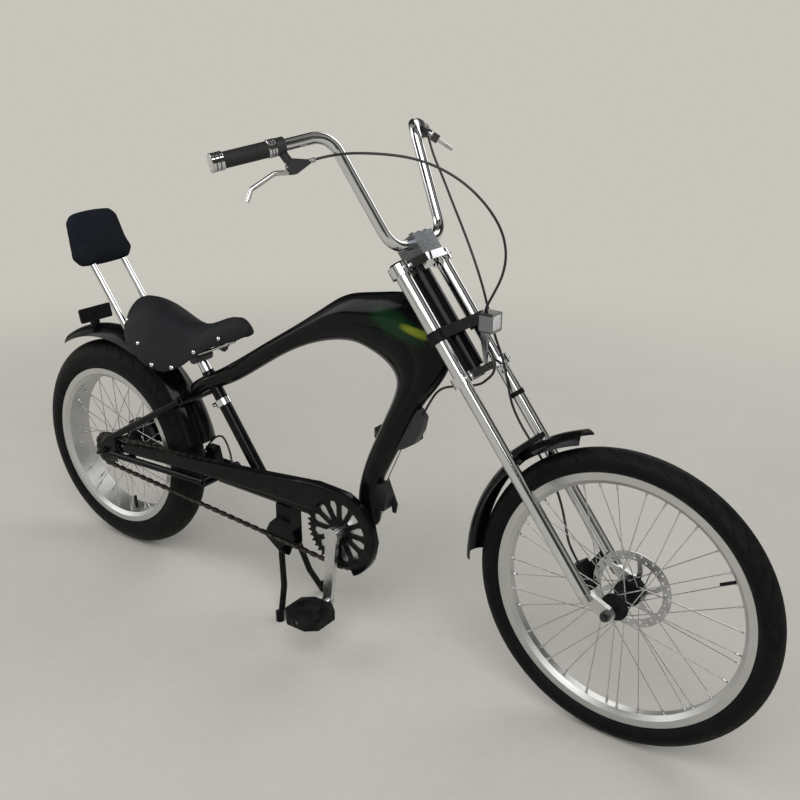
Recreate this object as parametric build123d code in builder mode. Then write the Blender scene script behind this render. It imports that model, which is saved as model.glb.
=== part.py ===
from build123d import *
import math
import os

# Chopper bicycle on its centre stand. Millimetres, +X forward, +Y left, +Z up.
# The floor is Z = 0 and the origin lies under the middle of the bounding box.

# Wheels
WHEELBASE = 1392.0
FRONT_R = 303.0
REAR_R = 276.0
FRONT_RIM_R = 259.5
REAR_RIM_R = 208.5
FRONT_RIM_INNER = 236.0
REAR_RIM_INNER = 186.0
FRONT_TYRE_HALF = 25.0
REAR_TYRE_HALF = 41.0
FRONT_FENDER_GAP = 34.0
REAR_FENDER_GAP = 42.0
SPOKE_R = 1.1
AXLE_R = 5.0
RUNNING = 0.05

# Steering geometry: the fork slopes back by RAKE and the front axle lies FORK_OFFSET ahead of its axis
RAKE = math.radians(37.5)
FORK_OFFSET = 33.3
LEG_AHEAD = 13.0
LEG_Y = 69.0
LEG_R = 13.0
COVER_R = 15.0
LEG_LOW = 52.0
LOW_CROWN = 506.0
MID_CLAMP = 600.0
CLIP = 435.0
TOP_CROWN = 743.0
LEG_TOP = 755.0
HEAD_R = 22.5
STEERER_R = 14.3
BAR_R = 11.1
BAR_AHEAD = 34.0
BAR_UP = 781.0
STEER_LIMIT = 45.0

# Frame
BB_X = 757.0
BB_Z = 272.0
BB_R = 22.0
DROPOUT_Y = 68.0
DROPOUT_T = 6.0
STAY_R = 8.5
BEAM_R = 19.0
POST_R = 13.5
SEAT_TUBE_R = 15.0
SEAT_RAKE = math.radians(35.3)

# Drive
PITCH = 12.7
FRONT_TEETH = 42
REAR_TEETH = 20
CHAIN_Y = -57.0
PLATE_IN = 1.6
CRANK = 170.0
CRANK_TURN = math.radians(5.2)
CRANK_Y = 74.0
CRANK_T = 12.0
PEDAL_IN = 96.0
PEDAL_W = 96.0
PEDAL_L = 96.0
PEDAL_H = 22.0

# Cables
CABLE_R = 2.5
WIRE_R = 1.0

# Centre stand
STAND_X = 561.0
STAND_Z = 148.0
STAND_FOOT_X = 598.0
STAND_FOOT_Y = 83.0

FRONT_X = (WHEELBASE + REAR_R - FRONT_R) / 2
REAR_X = FRONT_X - WHEELBASE
FRONT_SPROCKET_R = PITCH / 2 / math.sin(math.pi / FRONT_TEETH)
REAR_SPROCKET_R = PITCH / 2 / math.sin(math.pi / REAR_TEETH)
SIN = math.sin(RAKE)
COS = math.cos(RAKE)
STEER_X = FRONT_X - FORK_OFFSET * COS
STEER_Z = FRONT_R - FORK_OFFSET * SIN
UP = Vector(-SIN, 0, COS)
AHEAD = Vector(COS, 0, SIN)

os.makedirs("parts", exist_ok=True)


def at(x, z, y=0.0):
    """Point measured from the floor under the rear axle."""
    return Vector(REAR_X + x, y, z)


def steer(n, t, y=0.0):
    """Point n ahead of the steering axis and t up along it, from beside the front axle."""
    return Vector(STEER_X, y, STEER_Z) + AHEAD * n + UP * t


def side_plane(centre):
    """Plane seen from the right: its x is forward, its y is up, and it faces -Y."""
    return Plane(origin=centre, x_dir=(1, 0, 0), z_dir=(0, -1, 0))


def fork_plane(t):
    """Plane across the steering axis: its x is ahead, its y is left."""
    return Plane(origin=steer(0, t), x_dir=AHEAD, z_dir=UP)


def oval(a, b):
    """Four arcs through the ends and the diagonals of an ellipse with half axes a and b."""
    k = math.sqrt(0.5)
    ThreePointArc((a, 0), (a * k, b * k), (0, b))
    ThreePointArc((0, b), (-a * k, b * k), (-a, 0))
    ThreePointArc((-a, 0), (-a * k, -b * k), (0, -b))
    ThreePointArc((0, -b), (a * k, -b * k), (a, 0))


def rod(start, end, radius, mode=Mode.ADD):
    """Round bar between two points."""
    way = end - start
    with BuildSketch(Plane(origin=start, z_dir=way)) as section:
        Circle(radius)
    extrude(section.sketch, amount=way.length, mode=mode)


def six_sided(start, end, radius, turn=0.0):
    """Six-sided bar between two points."""
    way = end - start
    with BuildSketch(Plane(origin=start, z_dir=way)) as section:
        RegularPolygon(radius, 6, rotation=turn)
    extrude(section.sketch, amount=way.length)


def bent(points, radii, radius):
    """Round bar along straight runs joined by arcs."""
    with BuildLine() as path:
        FilletPolyline(*points, radius=radii)
    with BuildSketch(Plane(origin=points[0], z_dir=points[1] - points[0])) as section:
        Circle(radius)
    sweep(section.sketch, path=path.line)


def slab(outline, left, right, mode=Mode.ADD):
    """Plate with a side-view outline, from y = left down to y = right."""
    with BuildSketch(side_plane((0, left, 0))) as section:
        Polygon(*[(p.X, p.Z) for p in outline], align=None)
    extrude(section.sketch, amount=left - right, mode=mode)


def turned(x, z, outline, mode=Mode.ADD):
    """Outline of (radius, y) points turned about a cross axis through (x, z)."""
    with BuildSketch(Plane(origin=(x, 0, z), x_dir=(1, 0, 0), z_dir=(0, 0, 1))) as section:
        Polygon(*outline, align=None)
    revolve(section.sketch, axis=Axis((x, 0, z), (0, 1, 0)), mode=mode)


def less(*pieces):
    """Take other finished pieces out of the one being made."""
    for piece in pieces:
        add(piece.part, mode=Mode.SUBTRACT)


def keep(piece, label):
    piece.part.label = label
    export_step(piece.part, "parts/" + label + ".step")


# Wheels
def tyre(x, radius, rim_r, half, rim_half, wall):
    """Open tyre: lip inside the rim, bulged sidewalls and a rounded tread."""
    middle = (rim_r + radius) / 2 - 2
    shoulder = radius - half * 0.32
    lip = rim_r - 5.5
    with BuildSketch(Plane(origin=(x, 0, radius), x_dir=(1, 0, 0), z_dir=(0, 0, 1))) as section:
        with BuildLine():
            Line((lip, -rim_half), (rim_r, -rim_half))
            ThreePointArc((rim_r, -rim_half), (middle, -half), (shoulder, -half * 0.68))
            ThreePointArc((shoulder, -half * 0.68), (radius, 0), (shoulder, half * 0.68))
            ThreePointArc((shoulder, half * 0.68), (middle, half), (rim_r, rim_half))
            Polyline((rim_r, rim_half), (lip, rim_half), (lip, rim_half - 3.5),
                     (middle, half - wall), (shoulder - wall, half * 0.62), (radius - wall - 1, 0),
                     (shoulder - wall, -half * 0.62), (middle, wall - half),
                     (lip, 3.5 - rim_half), (lip, -rim_half))
        make_face()
    revolve(section.sketch, axis=Axis((x, 0, radius), (0, 1, 0)))


def rim(x, radius, rim_r, inner, half, flat):
    """Box rim with two lips, a well and a flat inner face."""
    lip = rim_r - 5.5
    side = [(rim_r, half), (rim_r, half - 2), (lip, half - 2), (lip, half - 7), (lip - 5, half * 0.45)]
    mirror_side = [(r, -y) for r, y in reversed(side)]
    turned(x, radius, side + mirror_side + [(inner + 9, -half), (inner, -flat), (inner, flat), (inner + 9, half)])


def lacing(x, z, hub_r, flange, inner, rim_y, hub, cross):
    """Thirty-six spokes: each flange sends every other spoke forward, the rest back."""
    for left in (1, -1):
        for i in range(18):
            lead = 1 if i % 2 == 0 else -1
            start = math.radians(20 * i + (5 if left > 0 else -5))
            end = start + lead * math.radians(cross)
            y0 = left * flange + lead * 2.1
            y1 = left * rim_y + lead * 1.3
            six_sided(Vector(x + hub_r * math.cos(start), y0, z + hub_r * math.sin(start)),
                      Vector(x + (inner + 4) * math.cos(end), y1, z + (inner + 4) * math.sin(end)), SPOKE_R)
    with BuildSketch(side_plane((x, 60, z))) as inside:
        Circle(inner)
    extrude(inside.sketch, amount=120, mode=Mode.INTERSECT)
    less(hub)


with BuildPart() as front_tyre:
    tyre(FRONT_X, FRONT_R, FRONT_RIM_R, FRONT_TYRE_HALF, 13.5, 3.5)
keep(front_tyre, "front_tyre")

with BuildPart() as rear_tyre:
    tyre(REAR_X, REAR_R, REAR_RIM_R, REAR_TYRE_HALF, 36.5, 4.5)
keep(rear_tyre, "rear_tyre")

with BuildPart() as front_rim:
    rim(FRONT_X, FRONT_R, FRONT_RIM_R, FRONT_RIM_INNER, 15.5, 8.0)
keep(front_rim, "front_rim")

with BuildPart() as rear_rim:
    rim(REAR_X, REAR_R, REAR_RIM_R, REAR_RIM_INNER, 38.5, 31.0)
keep(rear_rim, "rear_rim")

BORE = AXLE_R + RUNNING
with BuildPart() as front_hub:
    turned(FRONT_X, FRONT_R, [(BORE, -46), (10, -46), (10, -36), (27, -34), (27, -30.8), (15, -28), (13, 0), (15, 22),
                              (27, 24.8), (27, 28), (18, 31), (22, 40), (22, 45), (17, 45), (17, 47), (BORE, 47)])
keep(front_hub, "front_hub")

with BuildPart() as rear_hub:
    turned(REAR_X, REAR_R, [(BORE, -63), (14, -63), (14, -52), (18, -50), (18, -37), (30, -35), (30, -31.8), (17, -29),
                            (17, 29), (30, 31.8), (30, 35), (18, 37), (18, 39), (BORE, 39)])
keep(rear_hub, "rear_hub")

with BuildPart() as front_spokes:
    lacing(FRONT_X, FRONT_R, 23.5, 29.6, FRONT_RIM_INNER, 4.0, front_hub, 62)
keep(front_spokes, "front_spokes")

with BuildPart() as rear_spokes:
    lacing(REAR_X, REAR_R, 26.0, 33.4, REAR_RIM_INNER, 9.0, rear_hub, 62)
keep(rear_spokes, "rear_spokes")


def valve(x, z, inner, length, angle, radius):
    """Stem that points from the rim's inner face to the wheel's centre."""
    way = Vector(math.cos(angle), 0, math.sin(angle))
    rod(Vector(x, 0, z) + way * (inner - length), Vector(x, 0, z) + way * (inner + 1), radius)


with BuildPart() as front_valve:
    valve(FRONT_X, FRONT_R, FRONT_RIM_INNER, 34, math.radians(28), 3.2)
    less(front_rim)
keep(front_valve, "front_valve")

with BuildPart() as rear_valve:
    valve(REAR_X, REAR_R, REAR_RIM_INNER, 32, math.radians(-84), 4.0)
    less(rear_rim)
keep(rear_valve, "rear_valve")

# Brake disc: a drilled band on six swept arms
DISC_R = 80.0
DISC_Y = 45.0
with BuildPart() as brake_disc:
    with BuildSketch(side_plane((FRONT_X, DISC_Y + 2, FRONT_R))):
        Circle(DISC_R)
        Circle(DISC_R - 17, mode=Mode.SUBTRACT)
        with PolarLocations(DISC_R - 4.5, 18):
            RegularPolygon(2.6, 8, mode=Mode.SUBTRACT)
        with PolarLocations(DISC_R - 11.5, 18, start_angle=10):
            RegularPolygon(2.6, 8, mode=Mode.SUBTRACT)
        Circle(31)
        with PolarLocations(0, 6):
            Polygon((24, -5), (48, 6), (66, 22), (62, 30), (42, 14), (22, 6), align=None)
        Circle(17, mode=Mode.SUBTRACT)
    extrude(amount=2)
keep(brake_disc, "brake_disc")


# Drive
def toothed(teeth, pitch_r, root, tip):
    """Toothed disc outline in the sketch's own plane."""
    Circle(pitch_r - root)
    with PolarLocations(0, teeth, start_angle=180 / teeth):
        Polygon((pitch_r - root - 2, -4.2), (pitch_r - root, -4.2), (pitch_r + tip, -1.3), (pitch_r + tip, 1.3),
                (pitch_r - root, 4.2), (pitch_r - root - 2, 4.2), align=None)


BB = at(BB_X, BB_Z)
with BuildPart() as rear_sprocket:
    with BuildSketch(side_plane((REAR_X, CHAIN_Y + 1.15, REAR_R))):
        toothed(REAR_TEETH, REAR_SPROCKET_R, 4.0, 3.0)
        Circle(14, mode=Mode.SUBTRACT)
    extrude(amount=2.3)
keep(rear_sprocket, "rear_sprocket")

with BuildPart() as chainwheel:
    with BuildSketch(side_plane((BB.X, CHAIN_Y + 1.15, BB.Z))):
        toothed(FRONT_TEETH, FRONT_SPROCKET_R, 4.0, 3.4)
        with PolarLocations(0, 12, start_angle=15):
            Polygon((27, -1.6), (60, -10.0), (70, -8.0), (74, 0), (70, 8.0), (60, 10.0), (27, 1.6), align=None,
                    mode=Mode.SUBTRACT)
        Circle(8, mode=Mode.SUBTRACT)
    extrude(amount=2.3)
keep(chainwheel, "chainwheel")


def chain_path():
    """Belt line round both toothed discs: tangent points and the run directions."""
    rear = Vector(REAR_X, 0, REAR_R)
    gap = BB - rear
    lean = math.atan2(gap.Z, gap.X)
    spread = math.asin((FRONT_SPROCKET_R - REAR_SPROCKET_R) / gap.length)
    top = lean + math.pi / 2 + spread
    low = lean - math.pi / 2 - spread
    return rear, top, low


def ring_point(centre, radius, angle):
    return Vector(centre.X + radius * math.cos(angle), 0, centre.Z + radius * math.sin(angle))


def belt(offset):
    """Closed side-view line at an offset from the pitch line."""
    rear, top, low = chain_path()
    big = FRONT_SPROCKET_R + offset
    small = REAR_SPROCKET_R + offset
    marks = [ring_point(rear, small, top), ring_point(BB, big, top), ring_point(BB, big, (top + low) / 2),
             ring_point(BB, big, low), ring_point(rear, small, low),
             ring_point(rear, small, (top + low) / 2 + math.pi)]
    a, b, c, d, e, f = [(m.X, m.Z) for m in marks]
    Line(a, b)
    ThreePointArc(b, c, d)
    Line(d, e)
    ThreePointArc(e, f, a)


def link_places():
    """Pin positions and directions round the belt, with a flag on the straight runs."""
    rear, top, low = chain_path()
    run = (ring_point(BB, FRONT_SPROCKET_R, top) - ring_point(rear, REAR_SPROCKET_R, top)).length
    front_arc = (top - low) * FRONT_SPROCKET_R
    rear_arc = (2 * math.pi - (top - low)) * REAR_SPROCKET_R
    total = 2 * run + front_arc + rear_arc
    count = 2 * round(total / PITCH / 2)
    places = []
    for i in range(count):
        s = total * (i + 0.5) / count
        if s < run:
            p = ring_point(rear, REAR_SPROCKET_R, top)
            q = ring_point(BB, FRONT_SPROCKET_R, top)
            places.append((p + (q - p) * (s / run), top - math.pi / 2, 27 < s < run - 39))
        elif s < run + front_arc:
            angle = top - (s - run) / FRONT_SPROCKET_R
            places.append((ring_point(BB, FRONT_SPROCKET_R, angle), angle - math.pi / 2, False))
        elif s < 2 * run + front_arc:
            p = ring_point(BB, FRONT_SPROCKET_R, low)
            q = ring_point(rear, REAR_SPROCKET_R, low)
            u = s - run - front_arc
            places.append((p + (q - p) * (u / run), low - math.pi / 2, 39 < u < run - 27))
        else:
            angle = low - (s - 2 * run - front_arc) / REAR_SPROCKET_R
            places.append((ring_point(rear, REAR_SPROCKET_R, angle), angle - math.pi / 2, False))
    return places


LINKS = link_places()
with BuildPart() as chain:
    for left in (1, -1):
        near = CHAIN_Y + left * PLATE_IN
        with BuildSketch(side_plane((0, near if left < 0 else near + 1.2, 0))):
            with BuildLine():
                belt(3.2)
            make_face()
            with BuildLine():
                belt(-3.2)
            make_face(mode=Mode.SUBTRACT)
        extrude(amount=1.2)
        far = near + left * 1.2
        with BuildSketch(side_plane((0, far if left < 0 else far + 1.2, 0))):
            for place, angle, straight in LINKS[::2]:
                with Locations(Location((place.X, place.Z), math.degrees(angle))):
                    Rectangle(15.5, 8.4)
        extrude(amount=1.2)
    with BuildSketch(side_plane((0, CHAIN_Y + PLATE_IN, 0))):
        for place, angle, straight in LINKS:
            if straight:
                with Locations(Location((place.X, place.Z), math.degrees(angle))):
                    Rectangle(5.6, 5.6)
    extrude(amount=2 * PLATE_IN)
keep(chain, "chain")

with BuildPart() as bb_shell:
    with BuildSketch(side_plane((BB.X, 40, BB.Z))):
        Circle(BB_R)
        Circle(8 + RUNNING, mode=Mode.SUBTRACT)
    extrude(amount=40 + 46.5)
keep(bb_shell, "bb_shell")

DOWN = Vector(-math.sin(CRANK_TURN), 0, -math.cos(CRANK_TURN))
with BuildPart() as spindle:
    rod(BB + Vector(0, -CRANK_Y - 6, 0), BB + Vector(0, CRANK_Y + 6, 0), 8)
keep(spindle, "spindle")


def crank(left, way):
    """Crank arm with its boss, tapering to the pedal pin, which it carries."""
    inner = left * CRANK_Y
    end = BB + way * CRANK
    plane = side_plane((BB.X, max(inner, inner + left * CRANK_T), BB.Z))
    with BuildSketch(plane) as section:
        along = Vector(way.X, way.Z)
        across = Vector(-way.Z, way.X)
        corners = [along * a + across * b for a, b in ((0, -15), (CRANK, -11), (CRANK, 11), (0, 15))]
        Polygon(*[(c.X, c.Y) for c in corners], align=None)
        Circle(18)
        with Locations((way.X * CRANK, way.Z * CRANK)):
            Circle(14)
    extrude(section.sketch, amount=CRANK_T)
    face_y = -58.15 if left < 0 else 56.0
    rod(Vector(BB.X, face_y, BB.Z), Vector(BB.X, inner, BB.Z), 17)
    tip = left * (PEDAL_IN + PEDAL_W - 4)
    rod(Vector(end.X, inner + left * CRANK_T, end.Z), Vector(end.X, left * (PEDAL_IN - 1), end.Z), 8)
    rod(Vector(end.X, left * (PEDAL_IN - 1), end.Z), Vector(end.X, tip, end.Z), 6)


with BuildPart() as cranks:
    crank(-1, DOWN)
    crank(1, -DOWN)
    less(spindle)
keep(cranks, "cranks")


def pedal(left, way):
    """Platform pedal: a six-sided cage with two windows and a barrel along its pin."""
    centre = BB + way * CRANK
    inner = left * PEDAL_IN
    middle = left * (PEDAL_IN + PEDAL_W / 2)
    half_l = PEDAL_L / 2
    half_w = PEDAL_W / 2
    with BuildSketch(Plane(origin=(centre.X, middle, centre.Z - PEDAL_H / 2))) as section:
        Polygon((-half_l, -half_w + 20), (-half_l + 24, -half_w), (half_l - 24, -half_w), (half_l, -half_w + 20),
                (half_l, half_w - 20), (half_l - 24, half_w), (-half_l + 24, half_w), (-half_l, half_w - 20),
                align=None)
        with Locations((-27, 0), (27, 0)):
            RectangleRounded(22, 56, 8, mode=Mode.SUBTRACT)
    extrude(section.sketch, amount=PEDAL_H)
    rod(Vector(centre.X, inner - left, centre.Z), Vector(centre.X, inner + left * PEDAL_W, centre.Z), 6 + RUNNING,
        mode=Mode.SUBTRACT)


with BuildPart() as pedal_right:
    pedal(-1, DOWN)
keep(pedal_right, "pedal_right")

with BuildPart() as pedal_left:
    pedal(1, -DOWN)
keep(pedal_left, "pedal_left")

# Frame
# The swept backbone: inner point, outer point and half width of each section, from the seat to
# the head and down to the bottom bracket
SPINE = [
    ((285, 463), (270, 497), 17),
    ((374, 512), (352, 546), 18),
    ((455, 557), (434, 595), 19),
    ((552, 620), (528, 655), 21),
    ((632, 662), (607, 705), 23),
    ((705, 686), (680, 754), 27),
    ((765, 692), (748, 793), 30),
    ((812, 680), (826, 810), 32),
    ((850, 658), (930, 815), 32),
    ((868, 630), (998, 756), 32),
    ((862, 594), (990, 672), 31),
    ((845, 552), (940, 598), 29),
    ((826, 508), (892, 512), 27),
    ((792, 426), (841, 413), 26),
    ((774, 345), (824, 338), 25),
    ((753, 290), (798, 278), 22),
]
with BuildPart() as head_tube:
    with BuildSketch(fork_plane(LOW_CROWN + 12)):
        Circle(HEAD_R)
        Circle(STEERER_R + RUNNING, mode=Mode.SUBTRACT)
    extrude(amount=TOP_CROWN - LOW_CROWN - 26)
keep(head_tube, "head_tube")

with BuildPart() as backbone:
    for inner, outer, half in SPINE:
        low = at(*inner)
        high = at(*outer)
        out = (high - low).normalized()
        with BuildSketch(Plane(origin=(low + high) / 2, x_dir=out, z_dir=(out.Z, 0, -out.X))):
            with BuildLine():
                oval((high - low).length / 2, half)
            make_face()
    loft()
    rod(steer(0, LOW_CROWN - 40), steer(0, TOP_CROWN + 60), HEAD_R, mode=Mode.SUBTRACT)
    less(bb_shell)
keep(backbone, "backbone")

with BuildPart() as beam:
    rod(at(352, 276), at(BB_X - 12, BB_Z), BEAM_R)
    less(bb_shell, backbone)
keep(beam, "beam")

STRUT = Vector(math.sin(SEAT_RAKE), 0, -math.cos(SEAT_RAKE))
SEAT = at(338.5, 510.5)
COLLAR = SEAT + STRUT * 50
POST_TOP = SEAT - STRUT * 66
with BuildPart() as seat_tube:
    rod(SEAT - STRUT * 32, SEAT + STRUT * 290, SEAT_TUBE_R)
    rod(SEAT - STRUT * 32, COLLAR + STRUT * 30, POST_R, mode=Mode.SUBTRACT)
    less(beam)
keep(seat_tube, "seat_tube")

with BuildPart(mode=Mode.PRIVATE) as seat_hole:
    rod(SEAT - STRUT * 60, SEAT + STRUT * 60, SEAT_TUBE_R)

with BuildPart() as backbone_cut:
    add(backbone.part)
    less(seat_hole)
backbone = backbone_cut
keep(backbone, "backbone")

with BuildPart() as seat_collar:
    rod(COLLAR - STRUT * 8, COLLAR + STRUT * 8, SEAT_TUBE_R + 4)
    rod(COLLAR + Vector(-16, 0, -8), COLLAR + Vector(-34, 0, -16), 5)
    rod(COLLAR - STRUT * 20, COLLAR + STRUT * 20, SEAT_TUBE_R, mode=Mode.SUBTRACT)
keep(seat_collar, "seat_collar")

with BuildPart() as seat_post:
    rod(POST_TOP, COLLAR + STRUT * 30, POST_R)
keep(seat_post, "seat_post")

UPPER_YOKE = at(281, 470)
LOWER_YOKE = at(342, 275)
DROPOUT_OUTLINE = [(-19, 268), (-12, 258), (10, 257), (44, 264), (46, 290), (46, 334), (32, 332), (0, 300), (-15, 291)]
with BuildPart() as dropouts:
    for left in (1, -1):
        y = left * (DROPOUT_Y + DROPOUT_T / 2)
        slab([at(x, z) for x, z in DROPOUT_OUTLINE], y + DROPOUT_T / 2, y - DROPOUT_T / 2)
    rod(Vector(REAR_X, -90, REAR_R), Vector(REAR_X, 90, REAR_R), AXLE_R, mode=Mode.SUBTRACT)
keep(dropouts, "dropouts")


def stays(yoke, end, wide):
    """Cross tube with a straight stay from each end to a dropout."""
    rod(yoke + Vector(0, -wide - 4, 0), yoke + Vector(0, wide + 4, 0), 12)
    for left in (1, -1):
        rod(yoke + Vector(0, left * wide, 0), end + Vector(0, left * (DROPOUT_Y + 4), 0), STAY_R)
    less(dropouts)


with BuildPart() as seat_stays:
    stays(UPPER_YOKE, at(30, 318), 57)
    less(backbone)
keep(seat_stays, "seat_stays")

with BuildPart() as chain_stays:
    stays(LOWER_YOKE, at(30, 274), 57)
    less(beam)
keep(chain_stays, "chain_stays")

with BuildPart() as rear_axle:
    rod(Vector(REAR_X, -94, REAR_R), Vector(REAR_X, 94, REAR_R), AXLE_R)
    for left in (1, -1):
        for start, end, radius in ((64, DROPOUT_Y, 9), (DROPOUT_Y + DROPOUT_T, 84, 10)):
            six_sided(Vector(REAR_X, left * start, REAR_R), Vector(REAR_X, left * end, REAR_R), radius)
keep(rear_axle, "rear_axle")

with BuildPart() as rear_brake:
    turned(REAR_X, REAR_R, [(AXLE_R, 42), (44, 42), (44, 46), (48, 46), (48, 60), (44, 60), (40, 64), (AXLE_R, 64)])
    slab([at(10, REAR_R - 30), at(40, REAR_R - 40), at(128, REAR_R - 24), at(128, REAR_R - 14), at(40, REAR_R - 14),
          at(10, REAR_R - 6)], 67.5, 61)
    less(chain_stays, seat_stays, dropouts, rear_axle)
keep(rear_brake, "rear_brake")


def fender(x, z, crown, half, drop, start, arc):
    """Arched mudguard: a thin curved section turned part of the way round the wheel."""
    edge = crown - drop
    first = math.radians(start)
    out = (math.cos(first), 0, math.sin(first))
    with BuildSketch(Plane(origin=(x, 0, z), x_dir=out, z_dir=(-out[2], 0, out[0]))) as section:
        with BuildLine():
            ThreePointArc((edge, -half), (crown, 0), (edge, half))
            Line((edge, half), (edge, half - 2.2))
            ThreePointArc((edge, half - 2.2), (crown - 2.2, 0), (edge, 2.2 - half))
            Line((edge, 2.2 - half), (edge, -half))
        make_face()
    revolve(section.sketch, axis=Axis((x, 0, z), (0, -1, 0)), revolution_arc=arc)


FRONT_CROWN = FRONT_R + FRONT_FENDER_GAP
REAR_CROWN = REAR_R + REAR_FENDER_GAP
FENDER_TOP = REAR_R + REAR_CROWN
with BuildPart() as front_fender:
    fender(FRONT_X, FRONT_R, FRONT_CROWN, 33, 20, 107.5, 73.5)
keep(front_fender, "front_fender")

with BuildPart() as rear_fender:
    fender(REAR_X, REAR_R, REAR_CROWN, 46, 24, 14, 107)

with BuildPart() as rear_fender_mounts:
    slab([at(262, 470), at(292, 466), at(262, 430), at(232, 430)], 10, -10)
    slab([at(300, 345), at(334, 345), at(350, 285), at(326, 285)], 12, -12)
    less(rear_fender, seat_stays, chain_stays, backbone, beam)
    with BuildSketch(side_plane((REAR_X, 60, REAR_R))):
        Circle(REAR_CROWN - 2)
    extrude(amount=120, mode=Mode.SUBTRACT)

with BuildPart() as rear_fender_fitted:
    add(rear_fender.part)
    add(rear_fender_mounts.part)
keep(rear_fender_fitted, "rear_fender")

with BuildPart() as rear_plate:
    with BuildSketch(Plane(origin=at(-76, FENDER_TOP + 17), x_dir=(0, 1, 0), z_dir=(1, 0, 0.25))):
        RectangleRounded(96, 36, 5)
    extrude(amount=6)
    rod(at(-70, FENDER_TOP + 18), at(-63, FENDER_TOP + 18), 5)
    slab([at(-82, FENDER_TOP + 6), at(-73, FENDER_TOP + 6), at(-55, FENDER_TOP - 34), at(-70, FENDER_TOP - 34),
          at(-88, FENDER_TOP - 9)], 8, -8)
    slab([at(-90, FENDER_TOP - 28), at(-45, FENDER_TOP - 15), at(-45, FENDER_TOP - 34), at(-90, FENDER_TOP - 44)],
         16, -16)
    with BuildSketch(side_plane((REAR_X, 60, REAR_R))):
        Circle(REAR_CROWN)
    extrude(amount=120, mode=Mode.SUBTRACT)
    less(rear_fender)
keep(rear_plate, "rear_plate")

# Chain guard: a plate that covers the upper run and the front of the chainwheel from inside
GUARD_R = 101.0
GUARD = [(70, 309), (217, 325), (356, 337), (523, 354), (629, 366), (700, 374)]
GUARD_LOW = [(776, 190), (740, 255), (662, 296), (523, 306), (356, 300), (72, 284)]
with BuildPart() as chain_guard:
    rim_points = [ring_point(BB, GUARD_R, math.radians(a)) for a in (98, 75, 50, 25, 0, -25, -45, -62)]
    outline = [at(x, z) for x, z in GUARD] + rim_points + [at(x, z) for x, z in GUARD_LOW]
    slab(outline, -46.5, -49)
    slab([at(80, 290), at(94, 290), at(94, 272), at(80, 272)], -49, -60)
    rod(BB + Vector(0, -40, 0), BB + Vector(0, -50, 0), 8 + RUNNING, mode=Mode.SUBTRACT)
    less(bb_shell, chain_stays)
keep(chain_guard, "chain_guard")

with BuildPart() as stand_bracket:
    slab([at(538, 262), at(582, 262), at(584, 160), at(574, 136), at(548, 134), at(498, 168), at(516, 205),
          at(538, 225)], 19, -19)
    slab([at(516, 200), at(590, 200), at(590, 120), at(480, 120), at(480, 168)], 15, -15, mode=Mode.SUBTRACT)
    rod(at(STAND_X, STAND_Z, -30), at(STAND_X, STAND_Z, 30), 6 + RUNNING, mode=Mode.SUBTRACT)
    less(beam)
keep(stand_bracket, "stand_bracket")

with BuildPart() as stand:
    rod(at(STAND_X, STAND_Z, -34), at(STAND_X, STAND_Z, 34), 6)
    for left in (1, -1):
        foot = at(STAND_FOOT_X, -8, left * STAND_FOOT_Y)
        bent([at(STAND_X, STAND_Z, left * 18), at(STAND_X, STAND_Z - 1, left * 30), at(STAND_X + 19, 70, left * 46),
              foot], [10, 40], 7.5)
        rod(at(STAND_FOOT_X - 6, 22, left * (STAND_FOOT_Y - 6)), foot, 10)
    with BuildSketch(Plane.XY):
        Rectangle(3000, 400)
    extrude(amount=-60, mode=Mode.SUBTRACT)
    slab([at(480, 262), at(620, 262), at(620, 100), at(480, 100)], 20, -20, mode=Mode.SUBTRACT)
    rod(at(STAND_X, STAND_Z, -21), at(STAND_X, STAND_Z, 21), 6)
keep(stand, "stand")

# Saddle, its rails and the backrest
# Station x, half width, crown height, height of the skirt's edge
SADDLE = [
    (88, 27, 670, 646),
    (96, 44, 678, 640),
    (108, 66, 685, 624),
    (122, 81, 690, 606),
    (142, 95, 692, 594),
    (165, 104, 692, 584),
    (192, 111, 687, 572),
    (220, 114, 677, 560),
    (250, 110, 666, 551),
    (280, 98, 659, 549),
    (310, 80, 656, 562),
    (340, 62, 660, 586),
    (370, 47, 671, 606),
    (400, 38, 683, 622),
    (430, 31, 690, 632),
    (452, 25, 689, 642),
    (468, 15, 677, 654),
]
SKIN = 8.0


def saddle_loft(shrink, mode=Mode.ADD):
    """Arched sections from the wide back to the nose."""
    sections = []
    for x, half, top, edge in SADDLE:
        if x == SADDLE[0][0]:
            x = x + shrink / 2
        if x == SADDLE[-1][0]:
            x = x - shrink / 2
        w = half - shrink
        base = edge - shrink
        rise = top - shrink - base
        with BuildSketch(Plane(origin=at(x, 0), x_dir=(0, 1, 0), z_dir=(1, 0, 0))) as section:
            with BuildLine():
                Line((-w, base), (w, base))
                ThreePointArc((w, base), (w * 0.74, base + rise * 0.42), (w * 0.35, base + rise * 0.80))
                ThreePointArc((w * 0.35, base + rise * 0.80), (0, base + rise), (-w * 0.35, base + rise * 0.80))
                ThreePointArc((-w * 0.35, base + rise * 0.80), (-w * 0.74, base + rise * 0.42), (-w, base))
            make_face()
        sections.append(section.sketch)
    loft(sections, ruled=True, mode=mode)


with BuildPart() as saddle:
    saddle_loft(0)
    saddle_loft(SKIN, mode=Mode.SUBTRACT)
keep(saddle, "saddle")

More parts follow.
